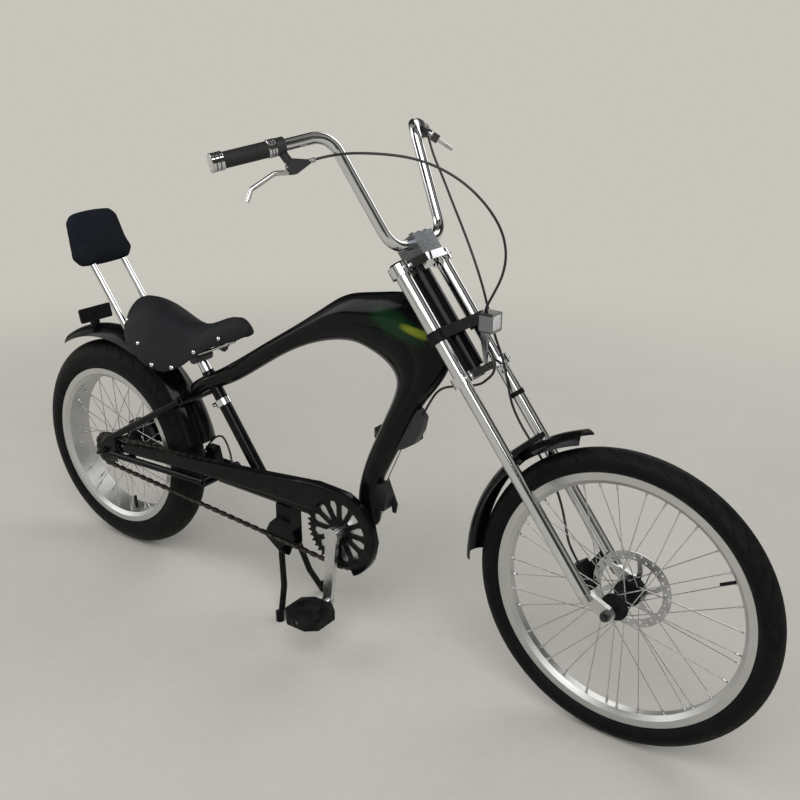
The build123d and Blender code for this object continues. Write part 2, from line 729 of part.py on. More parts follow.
PAD = at(-37, 812)
PAD_LEAN = math.radians(21)
BAR_Y = 47.0
with BuildPart() as backrest_pad:
    plane = Plane(origin=PAD, x_dir=(0, 1, 0), z_dir=(math.cos(PAD_LEAN), 0, math.sin(PAD_LEAN)))
    with BuildSketch(plane.offset(-25)):
        with BuildLine():
            Polyline((-87, -44), (-69, -66), (69, -66), (87, -44), (72, 50), (55, 67), (-55, 67), (-72, 50), close=True)
        make_face()
        fillet(vertices(), 13)
    extrude(amount=50)
    fillet(edges().filter_by(plane), 14)
keep(backrest_pad, "backrest_pad")

with BuildPart() as sissy_bar:
    for left in (1, -1):
        bent([at(-15, 771, left * BAR_Y), at(111, 600, left * BAR_Y), at(221, 573, left * BAR_Y)], [24], 8)
    rod(at(207, 576, -BAR_Y), at(207, 576, BAR_Y), 6)
    less(backrest_pad, saddle)
keep(sissy_bar, "sissy_bar")

with BuildPart() as saddle_rails:
    for left in (1, -1):
        bent([at(446, 668, left * 9), at(400, 622, left * 14), at(300, 576, left * 20), at(190, 566, left * 28),
              at(160, 676, left * 30)], [12, 30, 14], 3.5)
    less(saddle, sissy_bar)
keep(saddle_rails, "saddle_rails")

with BuildPart() as saddle_clamp:
    rod(POST_TOP + Vector(0, -27, 6), POST_TOP + Vector(0, 27, 6), 13)
    less(seat_post, saddle_rails)
keep(saddle_clamp, "saddle_clamp")

# Steering
with BuildPart() as steerer:
    rod(steer(0, LOW_CROWN - 8), steer(0, TOP_CROWN + 12), STEERER_R)
keep(steerer, "steerer")

with BuildPart() as fork_legs:
    for left in (1, -1):
        rod(steer(LEG_AHEAD, LEG_LOW, left * LEG_Y), steer(LEG_AHEAD, LEG_TOP, left * LEG_Y), LEG_R)
        rod(steer(LEG_AHEAD, MID_CLAMP - 10, left * LEG_Y), steer(LEG_AHEAD, LEG_TOP, left * LEG_Y), COVER_R)
keep(fork_legs, "fork_legs")


def crown(t, height, ring_r, bridge_h, bridge):
    """Clamp ring on each leg joined by a flat bridge round the steerer."""
    for left in (1, -1):
        rod(steer(LEG_AHEAD, t - height / 2, left * LEG_Y), steer(LEG_AHEAD, t + height / 2, left * LEG_Y), ring_r)
    with BuildSketch(fork_plane(t - bridge_h / 2)) as section:
        Polygon(*bridge, align=None)
        Circle(24)
    extrude(section.sketch, amount=bridge_h)
    less(fork_legs, steerer)


CROWN_BRIDGE = [(-8, -20), (2, -LEG_Y), (30, -LEG_Y), (34, -20), (34, 20), (30, LEG_Y), (2, LEG_Y), (-8, 20)]
with BuildPart() as low_crown:
    crown(LOW_CROWN, 20, COVER_R + 5.5, 14, CROWN_BRIDGE)
keep(low_crown, "low_crown")

TOP_BRIDGE = [(-8, -20), (2, -LEG_Y), (30, -LEG_Y), (56, -30), (56, 30), (30, LEG_Y), (2, LEG_Y), (-8, 20)]
with BuildPart() as top_crown:
    crown(TOP_CROWN, 22, COVER_R + 6.5, 16, TOP_BRIDGE)
keep(top_crown, "top_crown")

with BuildPart() as mid_clamps:
    for left in (1, -1):
        rod(steer(LEG_AHEAD, MID_CLAMP - 12, left * LEG_Y), steer(LEG_AHEAD, MID_CLAMP + 12, left * LEG_Y), COVER_R + 3.5)
    # clip on the left leg with a lug that reaches the brake cable
    leg = steer(LEG_AHEAD, CLIP, LEG_Y)
    lug = steer(4, CLIP, 52) - leg
    rod(leg - UP * 5, leg + UP * 5, LEG_R + 1.5)
    rod(leg, leg + lug.normalized() * (lug.length - CABLE_R - 0.9), 4)
    with BuildSketch(fork_plane(MID_CLAMP - 11)):
        with Locations((LEG_AHEAD + 19, 0)):
            Rectangle(5, 2 * LEG_Y + 16)
    extrude(amount=22)
    less(fork_legs)
keep(mid_clamps, "mid_clamps")

# Handlebar: corner, low bend and the swept-back end on each side
BASE = steer(BAR_AHEAD, BAR_UP)
LOW_BEND_Y = 84.0
CORNER = at(808, 1128)
CORNER_Y = 133.0
BAR_END = at(704, 1089)
BAR_END_Y = 325.0


def bar_point(p, y):
    return Vector(p.X, y, p.Z)


with BuildPart() as handlebar:
    bent([bar_point(BAR_END, -BAR_END_Y), bar_point(CORNER, -CORNER_Y), bar_point(BASE, -LOW_BEND_Y),
          bar_point(BASE, LOW_BEND_Y), bar_point(CORNER, CORNER_Y), bar_point(BAR_END, BAR_END_Y)],
         [42, 46, 46, 42], BAR_R)
keep(handlebar, "handlebar")

with BuildPart() as bar_clamp:
    with BuildSketch(fork_plane(TOP_CROWN + 8)):
        with Locations((BAR_AHEAD - 6, 0)):
            Rectangle(52, 64)
    extrude(amount=BAR_UP - TOP_CROWN + 5)
    with BuildSketch(fork_plane(TOP_CROWN + 8)):
        with Locations((-2, 0)):
            Circle(22)
    extrude(amount=16)
    for n in (-22, 10):
        for y in (-22, 0, 22):
            six_sided(steer(BAR_AHEAD + n, BAR_UP + 8, y), steer(BAR_AHEAD + n, BAR_UP + 17, y), 5.5)
    less(handlebar, steerer, top_crown, fork_legs)
keep(bar_clamp, "bar_clamp")

GRIP_IN = 105.0
GRIP_R = 14.8


def bar_way(left):
    start = bar_point(CORNER, left * CORNER_Y)
    end = bar_point(BAR_END, left * BAR_END_Y)
    return start, (end - start).normalized(), (end - start).length


def grip(left):
    start, way, length = bar_way(left)
    rod(start + way * GRIP_IN, start + way * (length + 3), GRIP_R)
    rod(start + way * GRIP_IN, start + way * (GRIP_IN + 15), GRIP_R + 1.5)
    rod(start + way * (length - 18), start + way * (length + 4), GRIP_R + 1.8)


with BuildPart() as grips:
    grip(-1)
    grip(1)
    less(handlebar)
keep(grips, "grips")


def lever_way(left, turn):
    """Bar line with the direction in which the lever stands out from it."""
    start, way, length = bar_way(left)
    fore = Vector(1, 0, 0) - way * way.X
    fore = fore.normalized()
    high = Vector(0, 0, 1) - way * way.Z - fore * fore.Z
    high = high.normalized()
    return start, way, fore * math.cos(turn) + high * math.sin(turn)


def cable_exit(left, turn):
    """Adjuster's end face on a lever and the direction out of it."""
    start, way, out = lever_way(left, turn)
    tip = start + way * 38 + out * 37
    return tip, (tip - start - way * 58 - out * 38).normalized()


# Perch outline and blade route: distance along the bar, distance out from it
PERCH = [(94, 36), (83, 25), (56, 33), (50, 38), (50, 42), (80, 54), (92, 50)]
BLADE = [(86, 49), (118, 43), (168, 60), (181, 79)]


def lever(left, turn):
    """Brake lever: clamp ring, perch, cable adjuster and a bent blade below the bar."""
    start, way, out = lever_way(left, turn)
    rod(start + way * 88, start + way * 104, 16)
    rod(start + way * 94 + out * 12, start + way * 84 + out * 36, 8)
    with BuildSketch(Plane(origin=start, x_dir=way, z_dir=way.cross(out)).offset(-9)) as section:
        Polygon(*PERCH, align=None)
    extrude(section.sketch, amount=18)
    rod(start + way * 58 + out * 38, start + way * 38 + out * 37, 4.5)
    bent([start + way * a + out * b for a, b in BLADE], [18, 8], 4.5)


RIGHT_LEVER = math.radians(-71)
LEFT_LEVER = math.radians(-25)
with BuildPart() as levers:
    lever(-1, RIGHT_LEVER)
    lever(1, LEFT_LEVER)
    less(handlebar)
keep(levers, "levers")

with BuildPart() as lamp:
    with BuildSketch(Plane(origin=steer(76, 585), x_dir=(0, 1, 0), z_dir=(1, 0, 0))):
        RectangleRounded(38, 38, 5)
    extrude(amount=28)
    slab([steer(68, 575), steer(84, 575), steer(84, 595), steer(68, 595)], 7, -7)
    slab([steer(28, LOW_CROWN + 7), steer(34, LOW_CROWN + 7), steer(60, 550), steer(82, 577), steer(72, 587),
          steer(50, 560)], 3, -3)
    less(low_crown)
keep(lamp, "lamp")

# Fork ends: a lug from each leg down to the axle
with BuildPart() as fork_tips:
    for left in (1, -1):
        rod(steer(LEG_AHEAD, LEG_LOW - 16, left * LEG_Y), steer(LEG_AHEAD, LEG_LOW, left * LEG_Y), LEG_R)
        outline = [steer(LEG_AHEAD - 11, LEG_LOW - 2), steer(LEG_AHEAD + 11, LEG_LOW - 2), steer(FORK_OFFSET + 13, 8),
                   steer(FORK_OFFSET + 13, -6), steer(FORK_OFFSET + 6, -13), steer(FORK_OFFSET - 7, -13),
                   steer(FORK_OFFSET - 14, -4)]
        slab(outline, max(left * 59, left * 70), min(left * 59, left * 70))
    rod(Vector(FRONT_X, -90, FRONT_R), Vector(FRONT_X, 90, FRONT_R), AXLE_R, mode=Mode.SUBTRACT)
keep(fork_tips, "fork_tips")

with BuildPart() as front_axle:
    rod(Vector(FRONT_X, -84, FRONT_R), Vector(FRONT_X, 84, FRONT_R), AXLE_R)
    for left in (1, -1):
        for start, end, radius in ((48, 59, 8), (70, 78, 10)):
            six_sided(Vector(FRONT_X, left * start, FRONT_R), Vector(FRONT_X, left * end, FRONT_R), radius)
keep(front_axle, "front_axle")

with BuildPart() as fender_bridge:
    t = math.sqrt((FRONT_CROWN - 1) ** 2 - (FORK_OFFSET - LEG_AHEAD) ** 2)
    slab([steer(LEG_AHEAD - 12, t - 6), steer(LEG_AHEAD + 12, t - 6), steer(LEG_AHEAD + 12, t + 10),
          steer(LEG_AHEAD - 12, t + 10)], LEG_Y, -LEG_Y)
    with BuildSketch(side_plane((FRONT_X, 90, FRONT_R))):
        Circle(FRONT_CROWN - 2)
    extrude(amount=180, mode=Mode.SUBTRACT)
    less(fork_legs, front_fender)
keep(fender_bridge, "fender_bridge")

# Disc caliper: slotted body behind the left leg with a lug on the leg
with BuildPart() as caliper:
    slab([steer(-34, 28), steer(-34, 84), steer(-62, 84), steer(-62, 28)], 66, 34)
    slab([steer(-40, 40), steer(-40, 72), steer(6, 88), steer(6, 60)], 66, 56)
    with BuildSketch(side_plane((FRONT_X, DISC_Y + 3.5, FRONT_R))):
        Circle(DISC_R + 6)
    extrude(amount=5, mode=Mode.SUBTRACT)
    less(fork_legs, fork_tips)
keep(caliper, "caliper")

# Cables: the housings follow straight runs, and each arc is as large as its runs allow


def cable(name, points, radius):
    """Tube along a route, with its radii and length printed."""
    radii = []
    for a, b, c in zip(points, points[1:], points[2:]):
        turn = math.radians((b - a).get_angle(c - b))
        radii.append(0.45 * min((b - a).length, (c - b).length) / math.tan(turn / 2))
    with BuildLine() as path:
        FilletPolyline(*points, radius=radii)
    with BuildSketch(Plane(origin=points[0], z_dir=points[1] - points[0])) as section:
        Circle(radius)
    tube = sweep(section.sketch, path=path.line)
    length = sum(edge.length for edge in path.line.edges())
    print(name, "length", round(length, 1), "volume ratio", round(tube.volume / (math.pi * radius ** 2 * length), 4))
    print("  radii", [round(r) for r in radii])


# Ahead of the steering axis, up it, and to the left
FRONT_CABLE = [
    (87, 961, 132), (85, 927, 120), (90, 876, 102), (98, 818, 74), (104, 757, 50), (102, 700, 36), (92, 645, 30),
    (74, 596, 31), (54, 552, 38), (39, 509, 47), (19, 465, 51.5), (0, 425, 52), (-6, 382, 52.5), (-4, 335, 51.5),
    (-2, 288, 52), (-6, 240, 52.5), (-18, 196, 53), (-35, 155, 52.5), (-48, 120, 50), (-48, 84, 50),
]
REAR_CABLE = [
    (104, 951, -128), (156, 904, -77), (190, 858, -56), (212, 808, -40), (221, 755, -27),
    (216, 704, -15), (193, 664, -4), (158, 636, 4), (118, 618, 9), (86, 605, 12), (61, 584, 13), (51, 556, 13),
    (47, 530, 12), (44, 506, 10), (31, 489, 5), (6, 485, 0),
]
with BuildPart() as front_brake_cable:
    tip, way = cable_exit(1, LEFT_LEVER)
    cable("front_brake_cable", [tip, tip + way * 30] + [steer(*p) for p in FRONT_CABLE], CABLE_R)
keep(front_brake_cable, "front_brake_cable")

with BuildPart() as rear_cable_bar:
    tip, way = cable_exit(-1, RIGHT_LEVER)
    cable("rear_cable_bar", [tip, tip + way * 24] + [steer(*p) for p in REAR_CABLE], CABLE_R)
keep(rear_cable_bar, "rear_cable_bar")

# From under the lower crown to the guide on the down tube
with BuildPart() as rear_cable_frame:
    cable("rear_cable_frame", [steer(-6, 485), at(1031, 651), at(996, 645), at(971, 632), at(953, 606), at(936, 573)],
          CABLE_R)
keep(rear_cable_frame, "rear_cable_frame")

# Guide on the down tube, bare wire and the wire's anchor above the chainwheel
with BuildPart() as cable_guide:
    slab([at(929, 582), at(943, 565), at(937, 536), at(920, 504), at(896, 488), at(876, 478), at(860, 500), at(905, 575)],
         9, -9)
    less(rear_cable_frame)
    rod(at(884, 486), at(836, 378), WIRE_R)
    slab([at(812, 386), at(842, 392), at(854, 362), at(846, 330), at(812, 326)], 14, -14)
    slab([at(838, 396), at(848, 372), at(862, 340), at(858, 318), at(850, 318), at(846, 340)], 17, 13)
    less(backbone)
keep(cable_guide, "cable_guide")

# Rear brake cable: out of the beam behind the seat tube and round to the brake's arm
with BuildPart() as rear_brake_cable:
    cable("rear_brake_cable", [at(384, 290, 0), at(376, 322, 8), at(350, 348, 22), at(314, 356, 42), at(280, 342, 54),
                               at(254, 316, 53), at(236, 289, 50), at(218, 267, 50), at(194, 258, 56),
                               at(161, 257, 64), at(128, 257, 64)], CABLE_R)
    less(beam)
keep(rear_brake_cable, "rear_brake_cable")
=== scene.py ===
import math

import bmesh
import bpy
import numpy as np
from mathutils import Matrix, Vector


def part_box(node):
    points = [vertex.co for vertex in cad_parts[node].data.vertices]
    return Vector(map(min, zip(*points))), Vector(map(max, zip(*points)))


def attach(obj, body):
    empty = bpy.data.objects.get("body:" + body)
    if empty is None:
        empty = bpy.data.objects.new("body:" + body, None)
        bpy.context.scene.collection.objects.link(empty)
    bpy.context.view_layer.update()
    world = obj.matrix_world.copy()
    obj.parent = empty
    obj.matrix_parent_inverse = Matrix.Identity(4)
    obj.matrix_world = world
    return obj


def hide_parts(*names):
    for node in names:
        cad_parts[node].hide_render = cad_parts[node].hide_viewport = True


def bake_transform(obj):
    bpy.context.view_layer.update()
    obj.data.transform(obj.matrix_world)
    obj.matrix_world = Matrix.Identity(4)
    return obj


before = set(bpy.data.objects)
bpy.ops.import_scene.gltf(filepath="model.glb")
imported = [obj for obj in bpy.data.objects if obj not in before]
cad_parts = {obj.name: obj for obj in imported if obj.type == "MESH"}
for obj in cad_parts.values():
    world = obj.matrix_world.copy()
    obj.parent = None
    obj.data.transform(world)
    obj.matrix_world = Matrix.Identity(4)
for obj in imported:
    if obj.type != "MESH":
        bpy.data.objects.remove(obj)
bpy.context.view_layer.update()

bl_info = {
    "name": "Chopper bicycle dressing",
    "version": (1, 0, 0),
    "blender": (4, 5, 0),
    "location": "View3D > Sidebar > Chopper",
    "description": "Paint, chrome, rubber, saddle, backrest, cables and studio for the chopper bicycle",
    "category": "Object",
}

# Millimetres from the floor under the rear axle, and along the steering axis, both turned into metres
REAR_X = -0.7095
FRONT_X = 0.6825
FRONT_R = 0.303
REAR_R = 0.276
RAKE = math.radians(37.5)
UP = np.array([-math.sin(RAKE), 0, math.cos(RAKE)])
AHEAD = np.array([math.cos(RAKE), 0, math.sin(RAKE)])
STEER_FOOT = np.array([FRONT_X - 0.0333 * math.cos(RAKE), 0, FRONT_R - 0.0333 * math.sin(RAKE)])


def at(x, z, y=0.0):
    """Point measured in mm from the floor under the rear axle."""
    return np.array([REAR_X + x / 1000, y / 1000, z / 1000])


def steer(n, t, y=0.0):
    """Point n mm ahead of the steering axis and t mm up along it."""
    return STEER_FOOT + AHEAD * (n / 1000) + UP * (t / 1000) + np.array([0, y / 1000, 0])


def unit(v):
    v = np.asarray(v, float)
    return v / np.linalg.norm(v)


def colour(name, description, default):
    return bpy.props.FloatVectorProperty(name=name, description=description, subtype="COLOR", size=4, default=default)


def distance(name, description, default):
    return bpy.props.FloatProperty(name=name, description=description, subtype="DISTANCE", default=default)


class PaintSettings(bpy.types.PropertyGroup):
    paint: colour("Paint", "Gloss paint of the frame and fenders", (0.0024, 0.0026, 0.0031, 1))
    fade_dark: colour("Fade, dark", "Outer colour of the sprayed fade beside the head", (0.005, 0.024, 0.008, 1))
    # The light yellow inside the fade is a painted highlight on the green paint
    fade_highlight: colour("Fade, light", "Inner colour of the sprayed fade", (0.155, 0.185, 0.016, 1))
    chrome: colour("Chrome", "Colour of the plated tubes", (0.72, 0.73, 0.75, 1))
    silver: colour("Silver", "Satin alloy of rims, cranks and levers", (0.66, 0.66, 0.66, 1))


class SeatSettings(bpy.types.PropertyGroup):
    vinyl: colour("Vinyl", "Colour of the saddle cover", (0.0165, 0.0172, 0.0190, 1))
    wall: distance("Wall", "Thickness of the saddle before it swells", 0.0075)
    swell: distance("Swell", "How far the saddle's skin may swell", 0.0030)
    pad_swell: distance("Pad swell", "How far the backrest's skin may swell", 0.008)
    rivet: distance("Rivet", "Radius of a rivet's dome", 0.0052)


class CableSettings(bpy.types.PropertyGroup):
    radius: distance("Cable radius", "Half the housing's width", 0.0025)


class StudioSettings(bpy.types.PropertyGroup):
    floor: colour("Floor", "Colour of floor and background", (0.575, 0.555, 0.50, 1))
    key: bpy.props.FloatProperty(name="Key", description="Power of the main soft light in watts", default=78)
    fill: bpy.props.FloatProperty(name="Fill", description="Power of the side light in watts", default=34)


# Meshes from arrays
def grid_faces(rows, columns, closed_rows=False, closed_columns=False):
    """Four corners of each cell of a grid, as whole arrays."""
    i = np.arange(rows if closed_rows else rows - 1)[:, None]
    j = np.arange(columns if closed_columns else columns - 1)[None, :]
    a = i * columns + j
    b = i * columns + (j + 1) % columns
    c = ((i + 1) % rows) * columns + (j + 1) % columns
    d = ((i + 1) % rows) * columns + j
    return np.stack(np.broadcast_arrays(a, b, c, d), -1).reshape(-1, 4)


def piece(name, parts, smooth=True, angle=None):
    """One object from a list of (points, faces): doubles merged, ends of zero size closed, faces turned outwards."""
    points, faces, start = [], [], 0
    for p, f in parts:
        p = np.asarray(p, float).reshape(-1, 3)
        points.append(p)
        faces.append(np.asarray(f) + start)
        start += len(p)
    mesh = bpy.data.meshes.new(name)
    mesh.from_pydata(np.concatenate(points).tolist(), [], np.concatenate(faces).tolist())
    work = bmesh.new()
    work.from_mesh(mesh)
    bmesh.ops.remove_doubles(work, verts=work.verts, dist=1e-6)
    bmesh.ops.dissolve_degenerate(work, edges=work.edges, dist=1e-7)
    bmesh.ops.recalc_face_normals(work, faces=work.faces)
    work.to_mesh(mesh)
    work.free()
    mesh.shade_smooth() if smooth else mesh.shade_flat()
    if angle is not None:
        mesh.set_sharp_from_angle(angle=angle)
    made = bpy.data.objects.new(name, mesh)
    bpy.context.scene.collection.objects.link(made)
    return made


def cross_axes(axis):
    """Two unit directions square to an axis and to each other."""
    axis = unit(axis)
    side = unit(np.cross(axis, [0.0, 1.0, 0.0] if abs(axis[1]) < 0.9 else [1.0, 0.0, 0.0]))
    return side, np.cross(axis, side)


def lathe(base, axis, outline, steps=24):
    """Outline of (radius, distance d along the axis) carried round it: point = base + axis d + radius (cos, sin)."""
    axis = unit(axis)
    side, other = cross_axes(axis)
    outline = np.asarray(outline, float)
    turn = np.linspace(0, 2 * math.pi, steps, endpoint=False)
    ring = np.cos(turn)[:, None] * side + np.sin(turn)[:, None] * other
    points = (np.asarray(base)[None, None, :] + outline[None, :, 1:2] * axis
              + outline[None, :, 0:1] * ring[:, None, :])
    return points, grid_faces(steps, len(outline), closed_rows=True)


def dome(base, axis, radius, height, steps=14):
    """Rivet head: an ellipse's quarter turned round its axis, with a short foot below."""
    a = np.linspace(0, math.pi / 2, 6)
    outline = [(0, -height), (radius, -height), *zip(radius * np.cos(a[:-1]), height * np.sin(a[:-1])), (0, height)]
    return lathe(base, axis, outline, steps)


def hexagon(base, axis, radius, height):
    """Bolt head: six flats with a chamfered top."""
    return lathe(base, axis, [(0, 0), (radius, 0), (radius, height * 0.8), (radius * 0.86, height), (0, height)], 6)


def eased(x, knots, values, first=None):
    """Cubic curve through values at knots, worked out for a whole array at once."""
    knots, values = np.asarray(knots, float), np.asarray(values, float)
    slope = np.gradient(values, knots)
    slope[0] = slope[0] if first is None else first
    i = np.clip(np.searchsorted(knots, x) - 1, 0, len(knots) - 2)
    h = knots[i + 1] - knots[i]
    t = (x - knots[i]) / h
    return ((2 * t ** 3 - 3 * t ** 2 + 1) * values[i] + (t ** 3 - 2 * t ** 2 + t) * h * slope[i]
            + (3 * t ** 2 - 2 * t ** 3) * values[i + 1] + (t ** 3 - t ** 2) * h * slope[i + 1])


# Shader building
def fed(made, inputs):
    """Links or sets each input of a node."""
    for key, value in inputs.items():
        if isinstance(value, bpy.types.NodeSocket):
            link(value, made.inputs[key])
        else:
            made.inputs[key].default_value = value
    return made


def node(tree, kind, inputs=None, **settings):
    """A node with its settings, each input linked or given a value."""
    made = tree.nodes.new("ShaderNode" + kind)
    for key, value in settings.items():
        setattr(made, key, value)
    return fed(made, inputs or {})


def tree_of(*values):
    """Node tree of the first socket among some values."""
    return next(v.id_data for v in values if isinstance(v, bpy.types.NodeSocket))


def link(socket, target):
    socket.id_data.links.new(socket, target)


def maths(operation, a, b=0.0, clamp=False):
    return node(tree_of(a, b), "Math", {0: a, 1: b}, operation=operation, use_clamp=clamp).outputs[0]


def plus(a, b, clamp=False):
    return maths("ADD", a, b, clamp)


def minus(a, b, clamp=False):
    return maths("SUBTRACT", a, b, clamp)


def times(a, b, clamp=False):
    return maths("MULTIPLY", a, b, clamp)


def tint(factor, a, b):
    return node(tree_of(factor, a, b), "Mix", {0: factor, 6: a, 7: b}, data_type="RGBA", clamp_factor=True).outputs[2]


def ramp(value, low, high, to_low=0.0, to_high=1.0):
    """Value moved smoothly from one range to another and held at the ends."""
    return node(tree_of(value), "MapRange", {0: value, 1: low, 2: high, 3: to_low, 4: to_high},
                interpolation_type="SMOOTHSTEP").outputs[0]


def mottle(here, scale, low=0.0, high=1.0):
    """Uneven cloud between two values."""
    return group(here.id_data, "mottle", {"Vector": here, "Scale": scale, "Low": low, "High": high})["Value"]


def split(vector):
    """X, Y and Z of a vector socket."""
    return node(vector.id_data, "SeparateXYZ", {0: vector}).outputs


def new_group(name, inputs, outputs):
    """Node group whose sockets are given as label and kind."""
    tree = bpy.data.node_groups.new(name, "ShaderNodeTree")
    for way, sockets in (("INPUT", inputs), ("OUTPUT", outputs)):
        for label, kind in sockets.items():
            tree.interface.new_socket(label, in_out=way, socket_type="NodeSocket" + kind)
    return tree, tree.nodes.new("NodeGroupInput").outputs, tree.nodes.new("NodeGroupOutput").inputs


def make_groups():
    """Shared effects: mottle, wheel coordinates, road dust and distance along a bar."""
    tree, given, out = new_group("mottle", {"Vector": "Vector", "Scale": "Float", "Low": "Float", "High": "Float"},
                                 {"Value": "Float"})
    fine = node(tree, "TexNoise", {"Vector": given["Vector"], "Scale": given["Scale"], "Detail": 4.0,
                                   "Roughness": 0.6})
    spread = node(tree, "MapRange", {0: fine.outputs[0], 1: 0.3, 2: 0.7, 3: given["Low"], 4: given["High"]})
    link(spread.outputs[0], out["Value"])

    tree, given, out = new_group("wheel_coordinates", {"Vector": "Vector", "Centre": "Vector"},
                                 {"Angle": "Float", "Radius": "Float", "Across": "Float"})
    offset = node(tree, "VectorMath", {0: given["Vector"], 1: given["Centre"]}, operation="SUBTRACT")
    parts = split(offset.outputs[0])
    angle = maths("ARCTAN2", parts[2], parts[0])
    square = plus(times(parts[0], parts[0]), times(parts[2], parts[2]))
    link(angle, out["Angle"])
    link(maths("SQRT", square), out["Radius"])
    link(parts[1], out["Across"])

    tree, given, out = new_group("road_dust",
                                 {"Vector": "Vector", "Colour": "Color", "Amount": "Float", "Height": "Float"},
                                 {"Colour": "Color", "Mask": "Float"})
    height = split(given["Vector"])[2]
    low = minus(1.0, maths("DIVIDE", height, given["Height"]), clamp=True)
    patch = node(tree, "TexNoise", {"Vector": given["Vector"], "Scale": 34.0, "Detail": 5.0}).outputs[0]
    mask = times(times(ramp(patch, 0.4, 0.75), given["Amount"]), plus(low, 0.25), clamp=True)
    link(tint(mask, given["Colour"], (0.32, 0.30, 0.27, 1)), out["Colour"])
    link(mask, out["Mask"])

    tree, given, out = new_group("along_bar", {"Vector": "Vector", "Start": "Vector", "Way": "Vector", "Out": "Vector"},
                                 {"Along": "Float", "Off": "Float"})
    offset = node(tree, "VectorMath", {0: given["Vector"], 1: given["Start"]}, operation="SUBTRACT")
    for label, name in (("Way", "Along"), ("Out", "Off")):
        dot = node(tree, "VectorMath", {0: offset.outputs[0], 1: given[label]}, operation="DOT_PRODUCT")
        link(dot.outputs["Value"], out[name])


def group(tree, name, inputs):
    made = tree.nodes.new("ShaderNodeGroup")
    made.node_tree = bpy.data.node_groups[name]
    return fed(made, inputs).outputs


def blank(name, **plain):
    """A material with its Principled shader and the object's own coordinates."""
    made = bpy.data.materials.new(name + "_finish")
    made.use_nodes = True
    tree = made.node_tree
    shader = tree.nodes["Principled BSDF"]
    for key, value in plain.items():
        shader.inputs[key.replace("_", " ")].default_value = value
    return made, tree, shader, node(tree, "TexCoord").outputs["Object"]


def surface(shader, base, rough):
    link(base, shader.inputs["Base Color"])
    link(rough, shader.inputs["Roughness"])


def bump(shader, height, strength, distance, coat=False):
    made = node(height.id_data, "Bump", {"Height": height, "Strength": strength, "Distance": distance})
    link(made.outputs[0], shader.inputs["Normal"])
    if coat:
        link(made.outputs[0], shader.inputs["Coat Normal"])


def metal(name, colour, low, high, scale, strength=0.06, metallic=1.0, mark=(0.5, 0.5, 0.5)):
    """Metal with uneven polish, faint staining and a fine surface."""
    made, tree, shader, here = blank(name, Metallic=metallic)
    cloud = mottle(here, scale, low, high)
    stain = mottle(here, scale * 0.23, 0.0, 0.22)
    shade = tint(stain, colour, tuple(c * m for c, m in zip(colour[:3], mark)) + (1,))
    dust = group(tree, "road_dust", {"Vector": here, "Colour": shade, "Amount": 0.05, "Height": 0.5})
    surface(shader, dust["Colour"], plus(cloud, dust["Mask"], clamp=True))
    fine = mottle(here, scale * 9)
    bump(shader, fine, strength, 0.0003)
    return made


def paint_finish(name, fade=False):
    """Gloss lacquer with orange peel, and beside the head a green sprayed fade whose light yellow core is a painted
    highlight.
    """
    look = bpy.context.scene.chopper_paint
    made, tree, shader, here = blank(name, Coat_Weight=0.06, Coat_Roughness=0.04, Specular_IOR_Level=0.12)
    colour = node(tree, "RGB").outputs[0]
    colour.default_value = look.paint
    if fade:
        parts = split(here)
        wave = node(tree, "TexNoise", {"Vector": here, "Scale": 11.0, "Detail": 2.0}).outputs[0]
        shift = times(minus(wave, 0.5), 0.03)
        # The green cloud is paint; the light yellow cloud inside it is a painted highlight
        for centre, size, colours in ((FADE_GREEN, FADE_GREEN_SIZE, look.fade_dark),
                                      (FADE_HIGHLIGHT, FADE_HIGHLIGHT_SIZE, look.fade_highlight)):
            across = minus(parts[0], centre[0])
            high = plus(minus(parts[2], centre[1]), shift)
            lean = plus(high, times(across, centre[2]))
            a = maths("POWER", maths("DIVIDE", across, size[0]), 2.0)
            b = maths("POWER", maths("DIVIDE", lean, size[1]), 2.0)
            mask = ramp(plus(a, b), 0.05, 1.0, 1.0, 0.0)
            colour = tint(mask, colour, colours)
    flake = node(tree, "TexVoronoi", {"Vector": here, "Scale": 900.0})
    spark = ramp(flake.outputs["Distance"], 0.0, 0.18, 0.012, 0.0)
    colour = tint(spark, colour, (0.16, 0.17, 0.18, 1))
    dust = group(tree, "road_dust", {"Vector": here, "Colour": colour, "Amount": 0.02, "Height": 0.6})
    link(dust["Colour"], shader.inputs["Base Color"])
    cloud = mottle(here, 22.0, 0.10, 0.20)
    link(plus(cloud, dust["Mask"]), shader.inputs["Roughness"])
    peel = mottle(here, 420.0)
    bump(shader, peel, 0.05, 0.0002, coat=True)
    return made


# Middle (x, z, lean) and half size of the fade's green cloud and of its painted yellow highlight, in metres
FADE_GREEN = (0.180, 0.757, 0.22)
FADE_GREEN_SIZE = (0.085, 0.036)
FADE_HIGHLIGHT = (0.224, 0.753, 0.14)
FADE_HIGHLIGHT_SIZE = (0.042, 0.013)


def plastic_finish(name, colour, low, high):
    """Moulded plastic or rubber: fine even grain, uneven sheen and a little dust low down."""
    made, tree, shader, here = blank(name, Specular_IOR_Level=0.09)
    shade = mottle(here, 40.0, 0.0, 0.5)
    base = tint(shade, colour, tuple(c * 1.7 for c in colour[:3]) + (1,))
    dust = group(tree, "road_dust", {"Vector": here, "Colour": base, "Amount": 0.04, "Height": 0.5})
    link(dust["Colour"], shader.inputs["Base Color"])
    cloud = mottle(here, 55.0, low, high)
    link(cloud, shader.inputs["Roughness"])
    cells = node(tree, "TexVoronoi", {"Vector": here, "Scale": 1040.0}, feature="SMOOTH_F1")
    bump(shader, cells.outputs["Distance"], 0.25, 0.0003)
    return made


